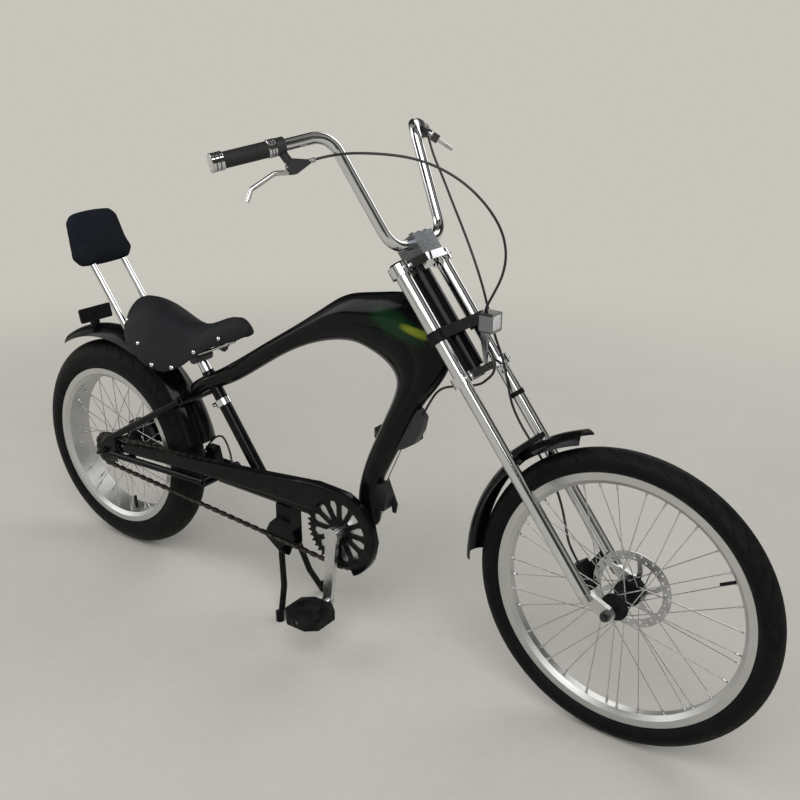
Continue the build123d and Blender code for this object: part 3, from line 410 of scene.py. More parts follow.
def tyre_finish(name, centre, radius, half, blocks):
    """Rubber with a groove pattern on the tread and painted shade in the grooves, fine rings and ribs on the sidewalls,
    and dust on what rolls.
    """
    made, tree, shader, here = blank(name, Specular_IOR_Level=0.09)
    wheel = group(tree, "wheel_coordinates", {"Vector": here, "Centre": centre})
    side = maths("DIVIDE", maths("ABSOLUTE", wheel["Across"]), half)
    turn = times(wheel["Angle"], blocks / (2 * math.pi))
    sweep = plus(turn, times(side, 1.35))
    slant = maths("ABSOLUTE", minus(maths("FRACT", sweep), 0.5))
    groove = ramp(slant, 0.035, 0.075)
    tread = ramp(wheel["Radius"], radius - half * 0.75, radius - half * 0.55)
    edge = ramp(side, 0.10, 0.16)
    cut = times(times(minus(1.0, groove), tread), edge)
    line = ramp(side, 0.015, 0.05)
    cut = maths("MAXIMUM", cut, times(minus(1.0, line), tread))
    rings = maths("SINE", times(wheel["Radius"], 2 * math.pi / 0.0042))
    wall = minus(1.0, tread)
    rings = times(times(rings, wall), 0.10)
    grain = mottle(here, 900.0, 0.0, 0.08)
    height = plus(plus(minus(1.0, cut), rings), grain)
    bump(shader, height, 1.0, 0.0022)
    shade = mottle(here, 30.0, 0.0, 0.6)
    base = tint(shade, (0.0035, 0.0036, 0.004, 1), (0.008, 0.008, 0.0085, 1))
    # Painted shade: the tread's grooves are darkened in colour
    base = tint(times(cut, 0.6), base, (0.003, 0.003, 0.003, 1))
    dust = mottle(here, 60.0, 0.0, 0.03)
    base = tint(times(dust, tread), base, (0.20, 0.19, 0.17, 1))
    link(base, shader.inputs["Base Color"])
    rough = mottle(here, 45.0, 0.42, 0.58)
    link(plus(rough, times(tread, 0.08)), shader.inputs["Roughness"])
    return made


def ringed_metal(name, colour, centre, low, high, pitch=0.0011):
    """Turned metal: fine rings round the wheel's axis with uneven polish between them."""
    made, tree, shader, here = blank(name, Metallic=1.0)
    wheel = group(tree, "wheel_coordinates", {"Vector": here, "Centre": centre})
    stretched = node(tree, "CombineXYZ", {0: times(wheel["Radius"], 1 / pitch), 1: times(wheel["Across"], 1 / pitch),
                                          2: times(wheel["Angle"], 3.0)})
    rings = node(tree, "TexNoise", {"Vector": stretched.outputs[0], "Scale": 1.0, "Detail": 3.0}).outputs[0]
    link(ramp(rings, 0.3, 0.7, low, high), shader.inputs["Roughness"])
    stain = mottle(here, 26.0, 0.0, 0.3)
    base = tint(stain, colour, tuple(c * 0.8 for c in colour[:3]) + (1,))
    link(base, shader.inputs["Base Color"])
    bump(shader, rings, 0.12, 0.0002)
    return made


def chain_finish():
    """Oiled dark links with uneven wear."""
    made, tree, shader, here = blank("chain_steel", Metallic=1.0)
    spots = node(tree, "TexVoronoi", {"Vector": here, "Scale": 120.0}).outputs["Distance"]
    oil = mottle(here, 90.0, 0.0, 1.0)
    base = tint(oil, (0.03, 0.028, 0.025, 1), (0.11, 0.10, 0.09, 1))
    base = tint(ramp(spots, 0.1, 0.5, 0.4, 0.0), base, (0.05, 0.045, 0.04, 1))
    surface(shader, base, ramp(oil, 0.0, 1.0, 0.28, 0.5))
    bump(shader, spots, 0.2, 0.0004)
    return made


def vinyl_finish(name, colour, low, high):
    """Grained cover: rounded pebbles between fine creases darkened with painted shade, with a dull sheen that varies.
    """
    made, tree, shader, here = blank(name, Specular_IOR_Level=0.09)
    warp = node(tree, "TexNoise", {"Vector": here, "Scale": 300.0}).outputs["Color"]
    moved = node(tree, "VectorMath", {0: warp, 1: (0.0006, 0.0006, 0.0006)}, operation="MULTIPLY")
    moved = node(tree, "VectorMath", {0: here, 1: moved.outputs[0]}, operation="ADD")
    pebbles = node(tree, "TexVoronoi", {"Vector": moved.outputs[0], "Scale": 620.0},
                   feature="DISTANCE_TO_EDGE").outputs["Distance"]
    soft = ramp(pebbles, 0.0, 0.22)
    broad = mottle(here, 24.0, 0.0, 0.6)
    base = tint(broad, colour, tuple(c * 1.6 for c in colour[:3]) + (1,))
    # Painted shade: the fine creases between the pebbles are darkened in colour
    base = tint(ramp(soft, 0.0, 1.0, 0.5, 0.0), base, (0.004, 0.004, 0.004, 1))
    surface(shader, base, mottle(here, 18.0, low, high))
    bump(shader, plus(soft, times(broad, 0.6)), 0.35, 0.0004)
    return made


def cloth_finish(name, colour):
    """Knitted cover: crossing fine ribs, lint and a soft sheen."""
    made, tree, shader, here = blank(name, Specular_IOR_Level=0.015)
    parts = split(here)
    over = maths("SINE", times(parts[1], 2 * math.pi / 0.0011))
    up = maths("SINE", times(plus(parts[2], parts[0]), 2 * math.pi / 0.0013))
    weave = times(over, up)
    lint = mottle(here, 150.0, 0.0, 1.0)
    base = tint(ramp(weave, -1.0, 1.0, 0.0, 0.6), colour, tuple(c * 2.0 for c in colour[:3]) + (1,))
    base = tint(ramp(lint, 0.8, 1.0, 0.0, 0.06), base, (0.10, 0.10, 0.11, 1))
    surface(shader, base, ramp(lint, 0.0, 1.0, 0.72, 0.88))
    bump(shader, weave, 0.35, 0.0004)
    return made


def grip_finish():
    """Soft rubber with fine lengthwise ribs worked from the distance round the bar."""
    made, tree, shader, here = blank("grip_rubber")
    total = None
    for left in (-1, 1):
        start, way, out = lever_way(left, 0.0)
        third = np.cross(way, out)
        first = group(tree, "along_bar", {"Vector": here, "Start": tuple(start), "Way": tuple(way),
                                          "Out": tuple(out)})
        second = group(tree, "along_bar", {"Vector": here, "Start": tuple(start), "Way": tuple(third),
                                           "Out": tuple(out)})
        angle = maths("ARCTAN2", second["Along"], first["Off"])
        ribs = maths("SINE", times(angle, 36.0))
        bands = maths("SINE", times(first["Along"], 2 * math.pi / 0.006))
        wave = maths("MAXIMUM", ribs, bands)
        height = split(here)[1]
        mine = maths("GREATER_THAN", times(height, float(left)), 0.0)
        wave = times(wave, mine)
        total = wave if total is None else plus(total, wave)
    base = tint(ramp(total, -1.0, 1.0, 0.0, 0.5), (0.005, 0.005, 0.005, 1), (0.011, 0.011, 0.011, 1))
    surface(shader, base, mottle(here, 70.0, 0.5, 0.7))
    bump(shader, total, 0.4, 0.0006)
    return made


def lever_finish():
    """Satin alloy blades and adjusters; the clamp ring and the perch are black, told apart along the bar."""
    look = bpy.context.scene.chopper_paint
    made, tree, shader, here = blank("lever_alloy")
    black = None
    y = split(here)[1]
    for left, turn in ((-1, RIGHT_LEVER), (1, LEFT_LEVER)):
        start, way, out = lever_way(left, turn)
        bar = group(tree, "along_bar", {"Vector": here, "Start": tuple(start), "Way": tuple(way), "Out": tuple(out)})
        body = times(maths("GREATER_THAN", bar["Along"], 0.050), maths("LESS_THAN", bar["Along"], 0.0935))
        ring = times(maths("GREATER_THAN", bar["Along"], 0.0875), maths("LESS_THAN", bar["Off"], 0.031))
        ring = times(ring, maths("LESS_THAN", bar["Along"], 0.105))
        mine = maths("GREATER_THAN", times(y, float(left)), 0.0)
        part = times(maths("MAXIMUM", body, ring), mine)
        black = part if black is None else maths("MAXIMUM", black, part)
    cloud = mottle(here, 80.0, 0.0, 0.3)
    alloy = tint(cloud, look.silver, tuple(c * 0.75 for c in look.silver[:3]) + (1,))
    link(tint(black, alloy, (0.014, 0.014, 0.015, 1)), shader.inputs["Base Color"])
    link(minus(1.0, black), shader.inputs["Metallic"])
    rough = mottle(here, 120.0, 0.22, 0.34)
    link(plus(rough, times(black, 0.2)), shader.inputs["Roughness"])
    bump(shader, mottle(here, 700.0), 0.08, 0.0003)
    return made


def cable_finish():
    """Black housing with a faint spiral of the winding under its sleeve."""
    made, tree, shader, here = blank("cable")
    wave = node(tree, "TexWave", {"Vector": here, "Scale": 160.0, "Distortion": 1.0}).outputs[1]
    base = tint(wave, (0.008, 0.008, 0.008, 1), (0.016, 0.016, 0.016, 1))
    surface(shader, base, ramp(wave, 0.0, 1.0, 0.35, 0.45))
    bump(shader, wave, 0.15, 0.0003)
    return made


# Handlebar ends and levers, as in the part
BAR_CORNER = (808.0, 1128.0)
BAR_CORNER_Y = 133.0
BAR_TIP = (704.0, 1089.0)
BAR_TIP_Y = 325.0
RIGHT_LEVER = math.radians(-71)
LEFT_LEVER = math.radians(-25)
GRIP_IN = 0.105


def bar_way(left):
    """Start, direction and length of a swept-back bar end."""
    start = at(*BAR_CORNER, left * BAR_CORNER_Y)
    end = at(*BAR_TIP, left * BAR_TIP_Y)
    return start, unit(end - start), float(np.linalg.norm(end - start))


def lever_way(left, turn):
    """Bar end with the direction in which its lever stands out."""
    start, way, _ = bar_way(left)
    fore = unit(np.array([1.0, 0, 0]) - way * way[0])
    high = unit(np.array([0, 0, 1.0]) - way * way[2] - fore * fore[2])
    return start, way, fore * math.cos(turn) + high * math.sin(turn)


# Fork legs, crowns and lamp in mm ahead of, beside and up the steering axis
LEG_AHEAD = 13
LEG_Y = 69
LOW_CROWN = 506
TOP_CROWN = 743
LEG_TOP = 755
LAMP = (76, 585)

FRONT_CENTRE = (FRONT_X, 0.0, FRONT_R)
REAR_CENTRE = (REAR_X, 0.0, REAR_R)
BB = (757, 272)
BB_CENTRE = (REAR_X + BB[0] / 1000, 0.0, BB[1] / 1000)


class CHOPPER_OT_finishes(bpy.types.Operator):
    """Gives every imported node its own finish"""
    bl_idname = "chopper.finishes"
    bl_label = "Finishes"

    def execute(self, context):
        look = context.scene.chopper_paint
        make_groups()
        silver, chrome = tuple(look.silver), tuple(look.chrome)
        finishes = {
            "paint": paint_finish("paint"),
            "paint_fade": paint_finish("paint_fade", fade=True),
            "chrome": metal("chrome", chrome, 0.03, 0.10, 30.0, 0.03),
            "alloy": metal("alloy", silver, 0.20, 0.34, 60.0, 0.10),
            "cast": metal("cast", (0.17, 0.18, 0.19, 1), 0.16, 0.34, 70.0, 0.5, mark=(0.35, 0.35, 0.35)),
            "lamp": metal("lamp_silver", (0.26, 0.27, 0.29, 1), 0.08, 0.22, 60.0, 0.08),
            "dark_steel": metal("dark_steel", (0.05, 0.05, 0.053, 1), 0.28, 0.45, 60.0, 0.12, metallic=0.7),
            "plastic": plastic_finish("plastic", (0.006, 0.006, 0.0065, 1), 0.38, 0.55),
            "grip": grip_finish(),
            "lever": lever_finish(),
            "front_tyre": tyre_finish("front_tyre_rubber", FRONT_CENTRE, FRONT_R, 0.025, 40.0),
            "rear_tyre": tyre_finish("rear_tyre_rubber", REAR_CENTRE, REAR_R, 0.041, 34.0),
            "front_rim": ringed_metal("front_rim_alloy", (0.62, 0.62, 0.615, 1), FRONT_CENTRE, 0.32, 0.48),
            "rear_rim": ringed_metal("rear_rim_alloy", (0.62, 0.62, 0.615, 1), REAR_CENTRE, 0.34, 0.5),
            "spoke": metal("spoke_steel", (0.62, 0.62, 0.63, 1), 0.16, 0.3, 120.0, 0.05),
            "disc": ringed_metal("disc_steel", (0.55, 0.55, 0.56, 1), FRONT_CENTRE, 0.2, 0.36, 0.0006),
            "chain": chain_finish(),
            "cable": cable_finish(),
            "vinyl": vinyl_finish("vinyl", tuple(context.scene.chopper_seat.vinyl), 0.40, 0.52),
            "cloth": cloth_finish("pad_cloth", (0.0100, 0.0115, 0.0150, 1)),
        }
        table = {
            "paint_fade": ["backbone"],
            "paint": ["head_tube", "bb_shell", "beam", "seat_tube", "seat_stays", "chain_stays", "dropouts",
                      "stand_bracket", "chain_guard", "rear_fender", "front_fender", "chainwheel", "stand"],
            "chrome": ["seat_collar", "seat_post", "saddle_rails", "sissy_bar", "fork_legs", "low_crown", "top_crown",
                       "handlebar"],
            "alloy": ["fork_tips", "cranks"],
            "lamp": ["lamp"],
            "cast": ["bar_clamp"],
            "dark_steel": ["saddle_clamp", "rear_axle", "rear_brake", "cable_guide", "steerer", "front_axle",
                           "rear_sprocket", "spindle"],
            "plastic": ["rear_plate", "mid_clamps", "fender_bridge", "caliper", "front_hub", "rear_hub",
                        "front_valve", "rear_valve", "pedal_right", "pedal_left"],
            "grip": ["grips"], "lever": ["levers"],
            "front_tyre": ["front_tyre"], "rear_tyre": ["rear_tyre"], "front_rim": ["front_rim"],
            "rear_rim": ["rear_rim"], "spoke": ["front_spokes", "rear_spokes"], "disc": ["brake_disc"],
            "chain": ["chain"],
            "cable": ["front_brake_cable", "rear_cable_bar", "rear_cable_frame", "rear_brake_cable"],
            "vinyl": ["saddle"], "cloth": ["backrest_pad"],
        }
        for finish, nodes in table.items():
            for name in nodes:
                wear(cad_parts[name], finishes[finish])
        missing = set(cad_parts) - {n for nodes in table.values() for n in nodes}
        if missing:
            raise RuntimeError("nodes without a finish: " + ", ".join(sorted(missing)))
        return {"FINISHED"}


def wear(made, material):
    """Puts one material on an object's mesh."""
    made.data.materials.clear()
    made.data.materials.append(material)


def material(name):
    return bpy.data.materials[name + "_finish"]


# Saddle: station x, half width, crown height and skirt height in mm
SADDLE = np.array([
    (88, 27, 670, 646), (96, 44, 678, 640), (108, 66, 685, 624), (122, 81, 690, 606), (142, 95, 692, 594),
    (165, 104, 692, 584), (192, 111, 687, 572), (220, 114, 677, 560), (250, 110, 666, 551), (280, 98, 659, 549),
    (310, 80, 656, 562), (340, 62, 660, 586), (370, 47, 671, 606), (400, 38, 683, 622), (430, 31, 690, 632),
    (452, 25, 689, 642), (468, 15, 677, 654)], float)


def saddle_point(x, s, inset=0.0, wall=0.0):
    """Point of the cover at station x and share s from the ridge (0) to the skirt (1 or -1), in metres.
    Half width, crown and skirt follow cubic curves through the stations; across, a cubic from flat crown to
    steep skirt. wall lowers the crown and narrows the skirt for the inside."""
    half = eased(x, SADDLE[:, 0], SADDLE[:, 1]) - inset
    top = eased(x, SADDLE[:, 0], SADDLE[:, 2]) - inset
    edge = eased(x, SADDLE[:, 0], SADDLE[:, 3]) + inset * 0.5
    end = np.minimum((x - SADDLE[0, 0]) / 16, (SADDLE[-1, 0] - x) / 16)
    deep = wall + (top - edge - wall) * np.clip(1 - end, 0, 1) ** 2 if wall else 0.0
    narrow = np.minimum(wall, half * 0.6)
    y = eased(np.abs(s), [0, 0.36, 0.70, 1], [0, 0.35, 0.74, 1.0]) * np.sign(s) * (half - narrow)
    z = edge + (top - deep - edge) * eased(np.abs(s), [0, 0.36, 0.70, 1], [1, 0.83, 0.44, 0], first=0.0)
    return np.stack(np.broadcast_arrays(REAR_X + x / 1000, y / 1000, z / 1000), -1)


def swell(made, voxel, pressure, cap, frames=20):
    """Voxel remesh, then cloth under pressure with no gravity; no point moves further than cap."""
    mod = made.modifiers.new("Remesh", "REMESH")
    mod.mode = "VOXEL"
    mod.voxel_size = voxel
    mod.use_smooth_shade = True
    settle(made)
    before = coordinates(made.data)
    mod = made.modifiers.new("Cloth", "CLOTH")
    mod.settings.use_pressure = True
    mod.settings.uniform_pressure_force = pressure
    mod.settings.effector_weights.gravity = 0
    mod.settings.quality = 5
    mod.settings.tension_stiffness = 12
    mod.settings.compression_stiffness = 12
    mod.settings.bending_stiffness = 0.8
    mod.collision_settings.use_self_collision = False
    mod.point_cache.frame_start = 1
    mod.point_cache.frame_end = frames
    for step in range(1, frames + 1):
        bpy.context.scene.frame_set(step)
    settle(made)
    bpy.context.scene.frame_set(1)
    move = coordinates(made.data) - before
    length = np.linalg.norm(move, axis=1, keepdims=True)
    move *= np.minimum(1.0, cap / np.maximum(length, 1e-9))
    made.data.vertices.foreach_set("co", (before + move).ravel())
    smooth = made.modifiers.new("Smooth", "SMOOTH")
    smooth.factor = 0.5
    smooth.iterations = 4
    fine = made.modifiers.new("Subdivision", "SUBSURF")
    fine.levels = fine.render_levels = 1
    settle(made)
    made.data.shade_smooth()


def settle(made):
    """Applies an object's modifiers to its mesh."""
    graph = bpy.context.evaluated_depsgraph_get()
    done = bpy.data.meshes.new_from_object(made.evaluated_get(graph), depsgraph=graph)
    old = made.data
    made.modifiers.clear()
    made.data = done
    done.name = made.name
    bpy.data.meshes.remove(old)


def coordinates(mesh):
    points = np.empty(len(mesh.vertices) * 3)
    mesh.vertices.foreach_get("co", points)
    return points.reshape(-1, 3)


class CHOPPER_OT_saddle(bpy.types.Operator):
    """Padded vinyl saddle: a thin arched shell that swells under pressure"""
    bl_idname = "chopper.saddle"
    bl_label = "Saddle"

    def execute(self, context):
        look = context.scene.chopper_seat
        x = np.concatenate([np.linspace(88, 122, 14), np.linspace(126, 440, 52), np.linspace(444, 468, 12)])
        s = np.linspace(-1, 1, 41)
        outer = saddle_point(x[:, None], s[None, :], inset=1.6)
        inner = saddle_point(x[:, None], s[None, ::-1], inset=1.6, wall=look.wall * 1000)
        loop = np.concatenate([outer, inner], 1)
        middle = loop.mean(1, keepdims=True)
        first = np.repeat(middle[:1], loop.shape[1], 1)
        last = np.repeat(middle[-1:], loop.shape[1], 1)
        points = np.concatenate([first, loop, last], 0)
        made = piece("saddle_cover", [(points, grid_faces(*points.shape[:2], closed_columns=True))])
        swell(made, 0.0042, 3.0, look.swell)
        wear(made, material("vinyl"))
        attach(made, "frame")
        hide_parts("saddle")

        rivets = []
        for x, share in RIVETS:
            for left in (-1, 1):
                spot = np.array([[x, left * share], [x + 2, left * share], [x, left * (share + 0.02)]])
                base, ahead, down = saddle_point(spot[:, 0], spot[:, 1])
                out = unit(np.cross(ahead - base, down - base))
                out = out if out[1] * left > 0 else -out
                rivets.append(dome(base + out * 0.0005, out, look.rivet, 0.0026))
        made = piece("saddle_rivets", rivets)
        wear(made, material("chrome"))
        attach(made, "frame")
        return {"FINISHED"}


# Rivets: station along the saddle in mm and share down the side
RIVETS = [(119, 0.72), (191, 0.81), (245, 0.92), (292, 0.93), (336, 0.84), (395, 0.79)]


class CHOPPER_OT_backrest(bpy.types.Operator):
    """Backrest pad: its solid, a little smaller, swollen like foam under a stretched cover"""
    bl_idname = "chopper.backrest"
    bl_label = "Backrest pad"

    def execute(self, context):
        look = context.scene.chopper_seat
        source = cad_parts["backrest_pad"]
        mesh = source.data.copy()
        work = bmesh.new()
        work.from_mesh(mesh)
        bmesh.ops.remove_doubles(work, verts=work.verts, dist=1e-6)
        work.to_mesh(mesh)
        work.free()
        points = coordinates(mesh)
        middle = (points.max(0) + points.min(0)) / 2
        face = unit([math.cos(math.radians(21)), 0, math.sin(math.radians(21))])
        deep = (points - middle) @ face
        points = middle + (points - middle) * 0.965 - deep[:, None] * face * 0.20
        mesh.vertices.foreach_set("co", points.ravel())
        made = bpy.data.objects.new("backrest_cover", mesh)
        context.scene.collection.objects.link(made)
        mesh.materials.clear()
        swell(made, 0.0048, 4.0, look.pad_swell)
        wear(made, material("pad_cloth"))
        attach(made, "frame")
        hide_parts("backrest_pad")
        return {"FINISHED"}


# Cable routes, with the part's own points
FRONT_CABLE = [
    (87, 961, 132), (85, 927, 120), (90, 876, 102), (98, 818, 74), (104, 757, 50), (102, 700, 36), (92, 645, 30),
    (74, 596, 31), (54, 552, 38), (39, 509, 47), (19, 465, 51.5), (0, 425, 52), (-6, 382, 52.5), (-4, 335, 51.5),
    (-2, 288, 52), (-6, 240, 52.5), (-18, 196, 53), (-35, 155, 52.5), (-48, 120, 50), (-48, 84, 50),
]
REAR_CABLE = [
    (104, 951, -128), (156, 904, -77), (190, 858, -56), (212, 808, -40), (221, 755, -27),
    (216, 704, -15), (193, 664, -4), (158, 636, 4), (118, 618, 9), (86, 605, 12), (61, 584, 13), (51, 556, 13),
    (47, 530, 12), (44, 506, 10), (31, 489, 5), (6, 485, 0),
]
FRAME_CABLE = [(1031, 651), (996, 645), (971, 632), (953, 606), (936, 573)]
BRAKE_CABLE = [(384, 290, 0), (376, 322, 8), (350, 348, 22), (314, 356, 42), (280, 342, 54), (254, 316, 53),
               (236, 289, 50), (218, 267, 50), (194, 258, 56), (161, 257, 64), (128, 257, 64)]


def cable_exit(left, turn, run):
    """Adjuster's end face and the end of its straight run."""
    start, way, out = lever_way(left, turn)
    tip = start + way * 0.038 + out * 0.037
    gone = unit(tip - start - way * 0.058 - out * 0.038)
    return [tip, tip + gone * run]


def route(name, points, radius):
    """Cable housing on one NURBS spline with given points."""
    curve = bpy.data.curves.new(name, "CURVE")
    curve.dimensions = "3D"
    curve.resolution_u = 10
    spline = curve.splines.new("NURBS")
    spline.points.add(len(points) - 1)
    for place, point in zip(spline.points, points):
        place.co = (*point, 1.0)
    spline.order_u = 3
    spline.use_endpoint_u = True
    curve.bevel_depth = radius
    curve.bevel_resolution = 4
    curve.use_fill_caps = True
    made = bpy.data.objects.new(name, curve)
    bpy.context.scene.collection.objects.link(made)
    return made


class CHOPPER_OT_cables(bpy.types.Operator):
    """Brake cable housings; the rear one is one fixed piece that turns back to the frame where it crosses the steering
    axis
    """
    bl_idname = "chopper.cables"
    bl_label = "Brake cables"

    def execute(self, context):
        radius = context.scene.chopper_cable.radius
        points = cable_exit(1, LEFT_LEVER, 0.030) + [steer(*p) for p in FRONT_CABLE]
        made = route("front_cable", points, radius)
        wear(made, material("cable"))
        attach(made, "steering")
        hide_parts("front_brake_cable")

        points = (cable_exit(-1, RIGHT_LEVER, 0.024) + [steer(*p) for p in REAR_CABLE] + [steer(-6, 485)]
                  + [at(*p) for p in FRAME_CABLE])
        line = route("rear_cable_line", points, 0.0)
        graph = context.evaluated_depsgraph_get()
        bare = bpy.data.meshes.new_from_object(line.evaluated_get(graph), depsgraph=graph)
        path = coordinates(bare)
        line.data.bevel_depth = radius
        graph = context.evaluated_depsgraph_get()
        tube = bpy.data.meshes.new_from_object(line.evaluated_get(graph), depsgraph=graph)
        bpy.data.objects.remove(line)
        bpy.data.meshes.remove(bare)
        made = bpy.data.objects.new("rear_cable", tube)
        context.scene.collection.objects.link(made)
        tube.shade_smooth()
        wear(made, material("cable"))
        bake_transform(made)
        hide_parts("rear_cable_bar", "rear_cable_frame")

        points = [at(x, z, y) for x, z, y in BRAKE_CABLE]
        made = route("hub_brake_cable", points, radius)
        wear(made, material("cable"))
        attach(made, "frame")
        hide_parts("rear_brake_cable")
        return {"FINISHED"}


class CHOPPER_OT_grip_rings(bpy.types.Operator):
    """Chrome rings with two grooves at both ends of each grip, and a domed cap"""
    bl_idname = "chopper.grip_rings"
    bl_label = "Grip rings"

    def execute(self, context):
        rings = []
        for left in (-1, 1):
            start, way, length = bar_way(left)
            for first, wide, radius, cap in ((GRIP_IN - 0.0004, 0.0158, 0.0168, False),
                                             (length - 0.0184, 0.0224, 0.0171, True)):
                third = wide / 3
                outline = [(0.0142, 0), (radius - 0.0008, 0), (radius, 0.0008)]
                for k in (1, 2):
                    outline += [(radius, third * k - 0.001), (radius - 0.0007, third * k - 0.0006),
                                (radius - 0.0007, third * k + 0.0006), (radius, third * k + 0.001)]
                outline += [(radius, wide - 0.0008), (radius - 0.0008, wide)]
                if cap:
                    outline = [(0.0, 0.0)] + outline + [(radius - 0.004, wide + 0.0004), (0.0, wide + 0.0006)]
                else:
                    outline += [(0.0142, wide), (0.0142, 0)]
                rings.append(lathe(start + way * first, way, outline, 40))
        made = piece("grip_rings", rings, angle=math.radians(35))
        wear(made, material("chrome"))
        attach(made, "steering")
        return {"FINISHED"}


def along(points, count):
    """Points spaced evenly by length on a line through the given ones."""
    points = np.asarray(points, float)
    run = np.concatenate([[0], np.cumsum(np.linalg.norm(np.diff(points, axis=0), axis=1))])
    want = np.linspace(0, run[-1], count)
    return np.stack([np.interp(want, run, points[:, k]) for k in range(points.shape[1])], 1)


# Guard band: edges in mm ahead of the rear axle and above the floor, then bows round the crank
GUARD_TOP = [(70, 309), (217, 325), (356, 337), (523, 354), (629, 366), (700, 374)]
GUARD_LOW = [(72, 287), (356, 303), (523, 309), (640, 310), (690, 309)]
GUARD_R = 101
GUARD_IN_R = 77
GUARD_END = -62


class CHOPPER_OT_guard(bpy.types.Operator):
    """Outer band of the chain guard with a flange over the chain, and the polished disc behind the chainwheel"""
    bl_idname = "chopper.guard"
    bl_label = "Guard band"

    def execute(self, context):
        edges = []
        for line, first, radius in ((GUARD_TOP, 98, GUARD_R), (GUARD_LOW, 150, GUARD_IN_R)):
            arc = np.radians(np.linspace(first, GUARD_END, 90))
            bow = np.stack([BB[0] + radius * np.cos(arc), BB[1] + radius * np.sin(arc)], 1)
            edges.append(np.concatenate([along(line, 60)[:-1], bow])[:, None, :])
        top, low = edges
        share = np.array([0, 0.02, 0.08, 0.3, 0.6, 0.9, 0.98, 1.0, 1.0, 1.0])
        y = np.array([-66.4, -67.4, -67.9, -68.2, -68.2, -67.9, -67.3, -66.0, -60.0, -51.0])
        flat = low * (1 - share[:, None]) + top * share[:, None]
        points = np.stack([REAR_X + flat[..., 0] / 1000, np.broadcast_to(y / 1000, flat.shape[:2]),
                           flat[..., 1] / 1000], -1)
        band = piece("guard_band", [(points, grid_faces(*points.shape[:2]))])
        wall = band.modifiers.new("Solidify", "SOLIDIFY")
        wall.thickness = 0.0018
        wall.offset = 0.0
        settle(band)
        band.data.shade_smooth()
        band.data.set_sharp_from_angle(angle=math.radians(40))
        wear(band, material("paint"))
        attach(band, "frame")

        centre = np.array([BB_CENTRE[0], -0.0552, BB_CENTRE[2]])
        disc = piece("chainwheel_disc", [lathe(centre, [0, -1, 0], [
            (0.023, 0), (0.074, 0), (0.0744, 0.0002), (0.074, 0.0004), (0.060, 0.00045), (0.040, 0.0004),
            (0.023, 0.0004), (0.023, 0)], 72)])
        wear(disc, ringed_metal("disc_polish", (0.62, 0.63, 0.64, 1), BB_CENTRE, 0.18, 0.34, 0.0009))
        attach(disc, "crankset")
        return {"FINISHED"}


class CHOPPER_OT_nipples(bpy.types.Operator):
    """Spoke nipples where the spokes meet the rims"""
    bl_idname = "chopper.nipples"
    bl_label = "Spoke nipples"

    def execute(self, context):
        for body, x, z, hub_r, flange, inner, rim_y in (
                ("front_wheel", FRONT_X, FRONT_R, 23.5, 29.6, 236.0, 4.0),
                ("rear_wheel", REAR_X, REAR_R, 26.0, 33.4, 186.0, 9.0)):
            parts = []
            for left in (1, -1):
                for i in range(18):
                    lead = 1 if i % 2 == 0 else -1
                    a = math.radians(20 * i + (5 if left > 0 else -5))
                    b = a + lead * math.radians(62)
                    low = np.array([x + hub_r / 1000 * math.cos(a), (left * flange + lead * 2.1) / 1000,
                                    z + hub_r / 1000 * math.sin(a)])
                    high = np.array([x + (inner + 4) / 1000 * math.cos(b), (left * rim_y + lead * 1.3) / 1000,
                                     z + (inner + 4) / 1000 * math.sin(b)])
                    way = unit(high - low)
                    base = high - way * 0.0175
                    parts.append(lathe(base, way, [(0.0011, 0), (0.0019, 0.0008), (0.0021, 0.004), (0.0021, 0.011),
                                                   (0.003, 0.012), (0.003, 0.0145)], 8))
            made = piece(body + "_nipples", parts)
            wear(made, material("spoke_steel"))
            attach(made, body)
        return {"FINISHED"}


class CHOPPER_OT_fasteners(bpy.types.Operator):
    """Leg caps, crown bolts, the steerer's nut and the disc's screws"""
    bl_idname = "chopper.fasteners"
    bl_label = "Fasteners"

    def execute(self, context):
        caps, bolts, screws = [], [], []
        for left in (-1, 1):
            top = steer(LEG_AHEAD, LEG_TOP, left * LEG_Y)
            caps.append(lathe(top - UP * 0.0008, UP, [(0, 0), (0.0152, 0), (0.0152, 0.003), (0.0135, 0.0045),
                                                      (0.006, 0.0052), (0, 0.0052)], 32))
            for crown, ahead in ((TOP_CROWN, 20.0), (LOW_CROWN, 19.0)):
                bolts.append(hexagon(steer(LEG_AHEAD + ahead, crown, left * (LEG_Y - 9)), AHEAD, 0.0042, 0.004))
                bolts.append(dome(steer(LEG_AHEAD + ahead, crown, left * (LEG_Y + 9)), AHEAD, 0.0040, 0.003))
        steerer_top = steer(0, LEG_TOP)
        bolts.append(lathe(steerer_top, UP, [(0, 0), (0.016, 0), (0.0165, 0.002), (0.015, 0.005), (0.006, 0.006),
                                             (0.006, 0.003), (0, 0.003)], 32))
        made = piece("leg_caps", caps, angle=math.radians(40))
        wear(made, material("plastic"))
        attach(made, "steering")
        for k in range(6):
            a = math.radians(60 * k + 15)
            spot = np.array([FRONT_X + 0.0215 * math.cos(a), 0.0468, FRONT_R + 0.0215 * math.sin(a)])
            screws.append(dome(spot, np.array([0.0, 1.0, 0.0]), 0.0028, 0.0014, 10))
        made = piece("steering_bolts", bolts, angle=math.radians(40))
        wear(made, material("chrome"))
        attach(made, "steering")
        made = piece("disc_screws", screws, angle=math.radians(40))
        wear(made, material("spoke_steel"))
        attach(made, "front_wheel")
        return {"FINISHED"}


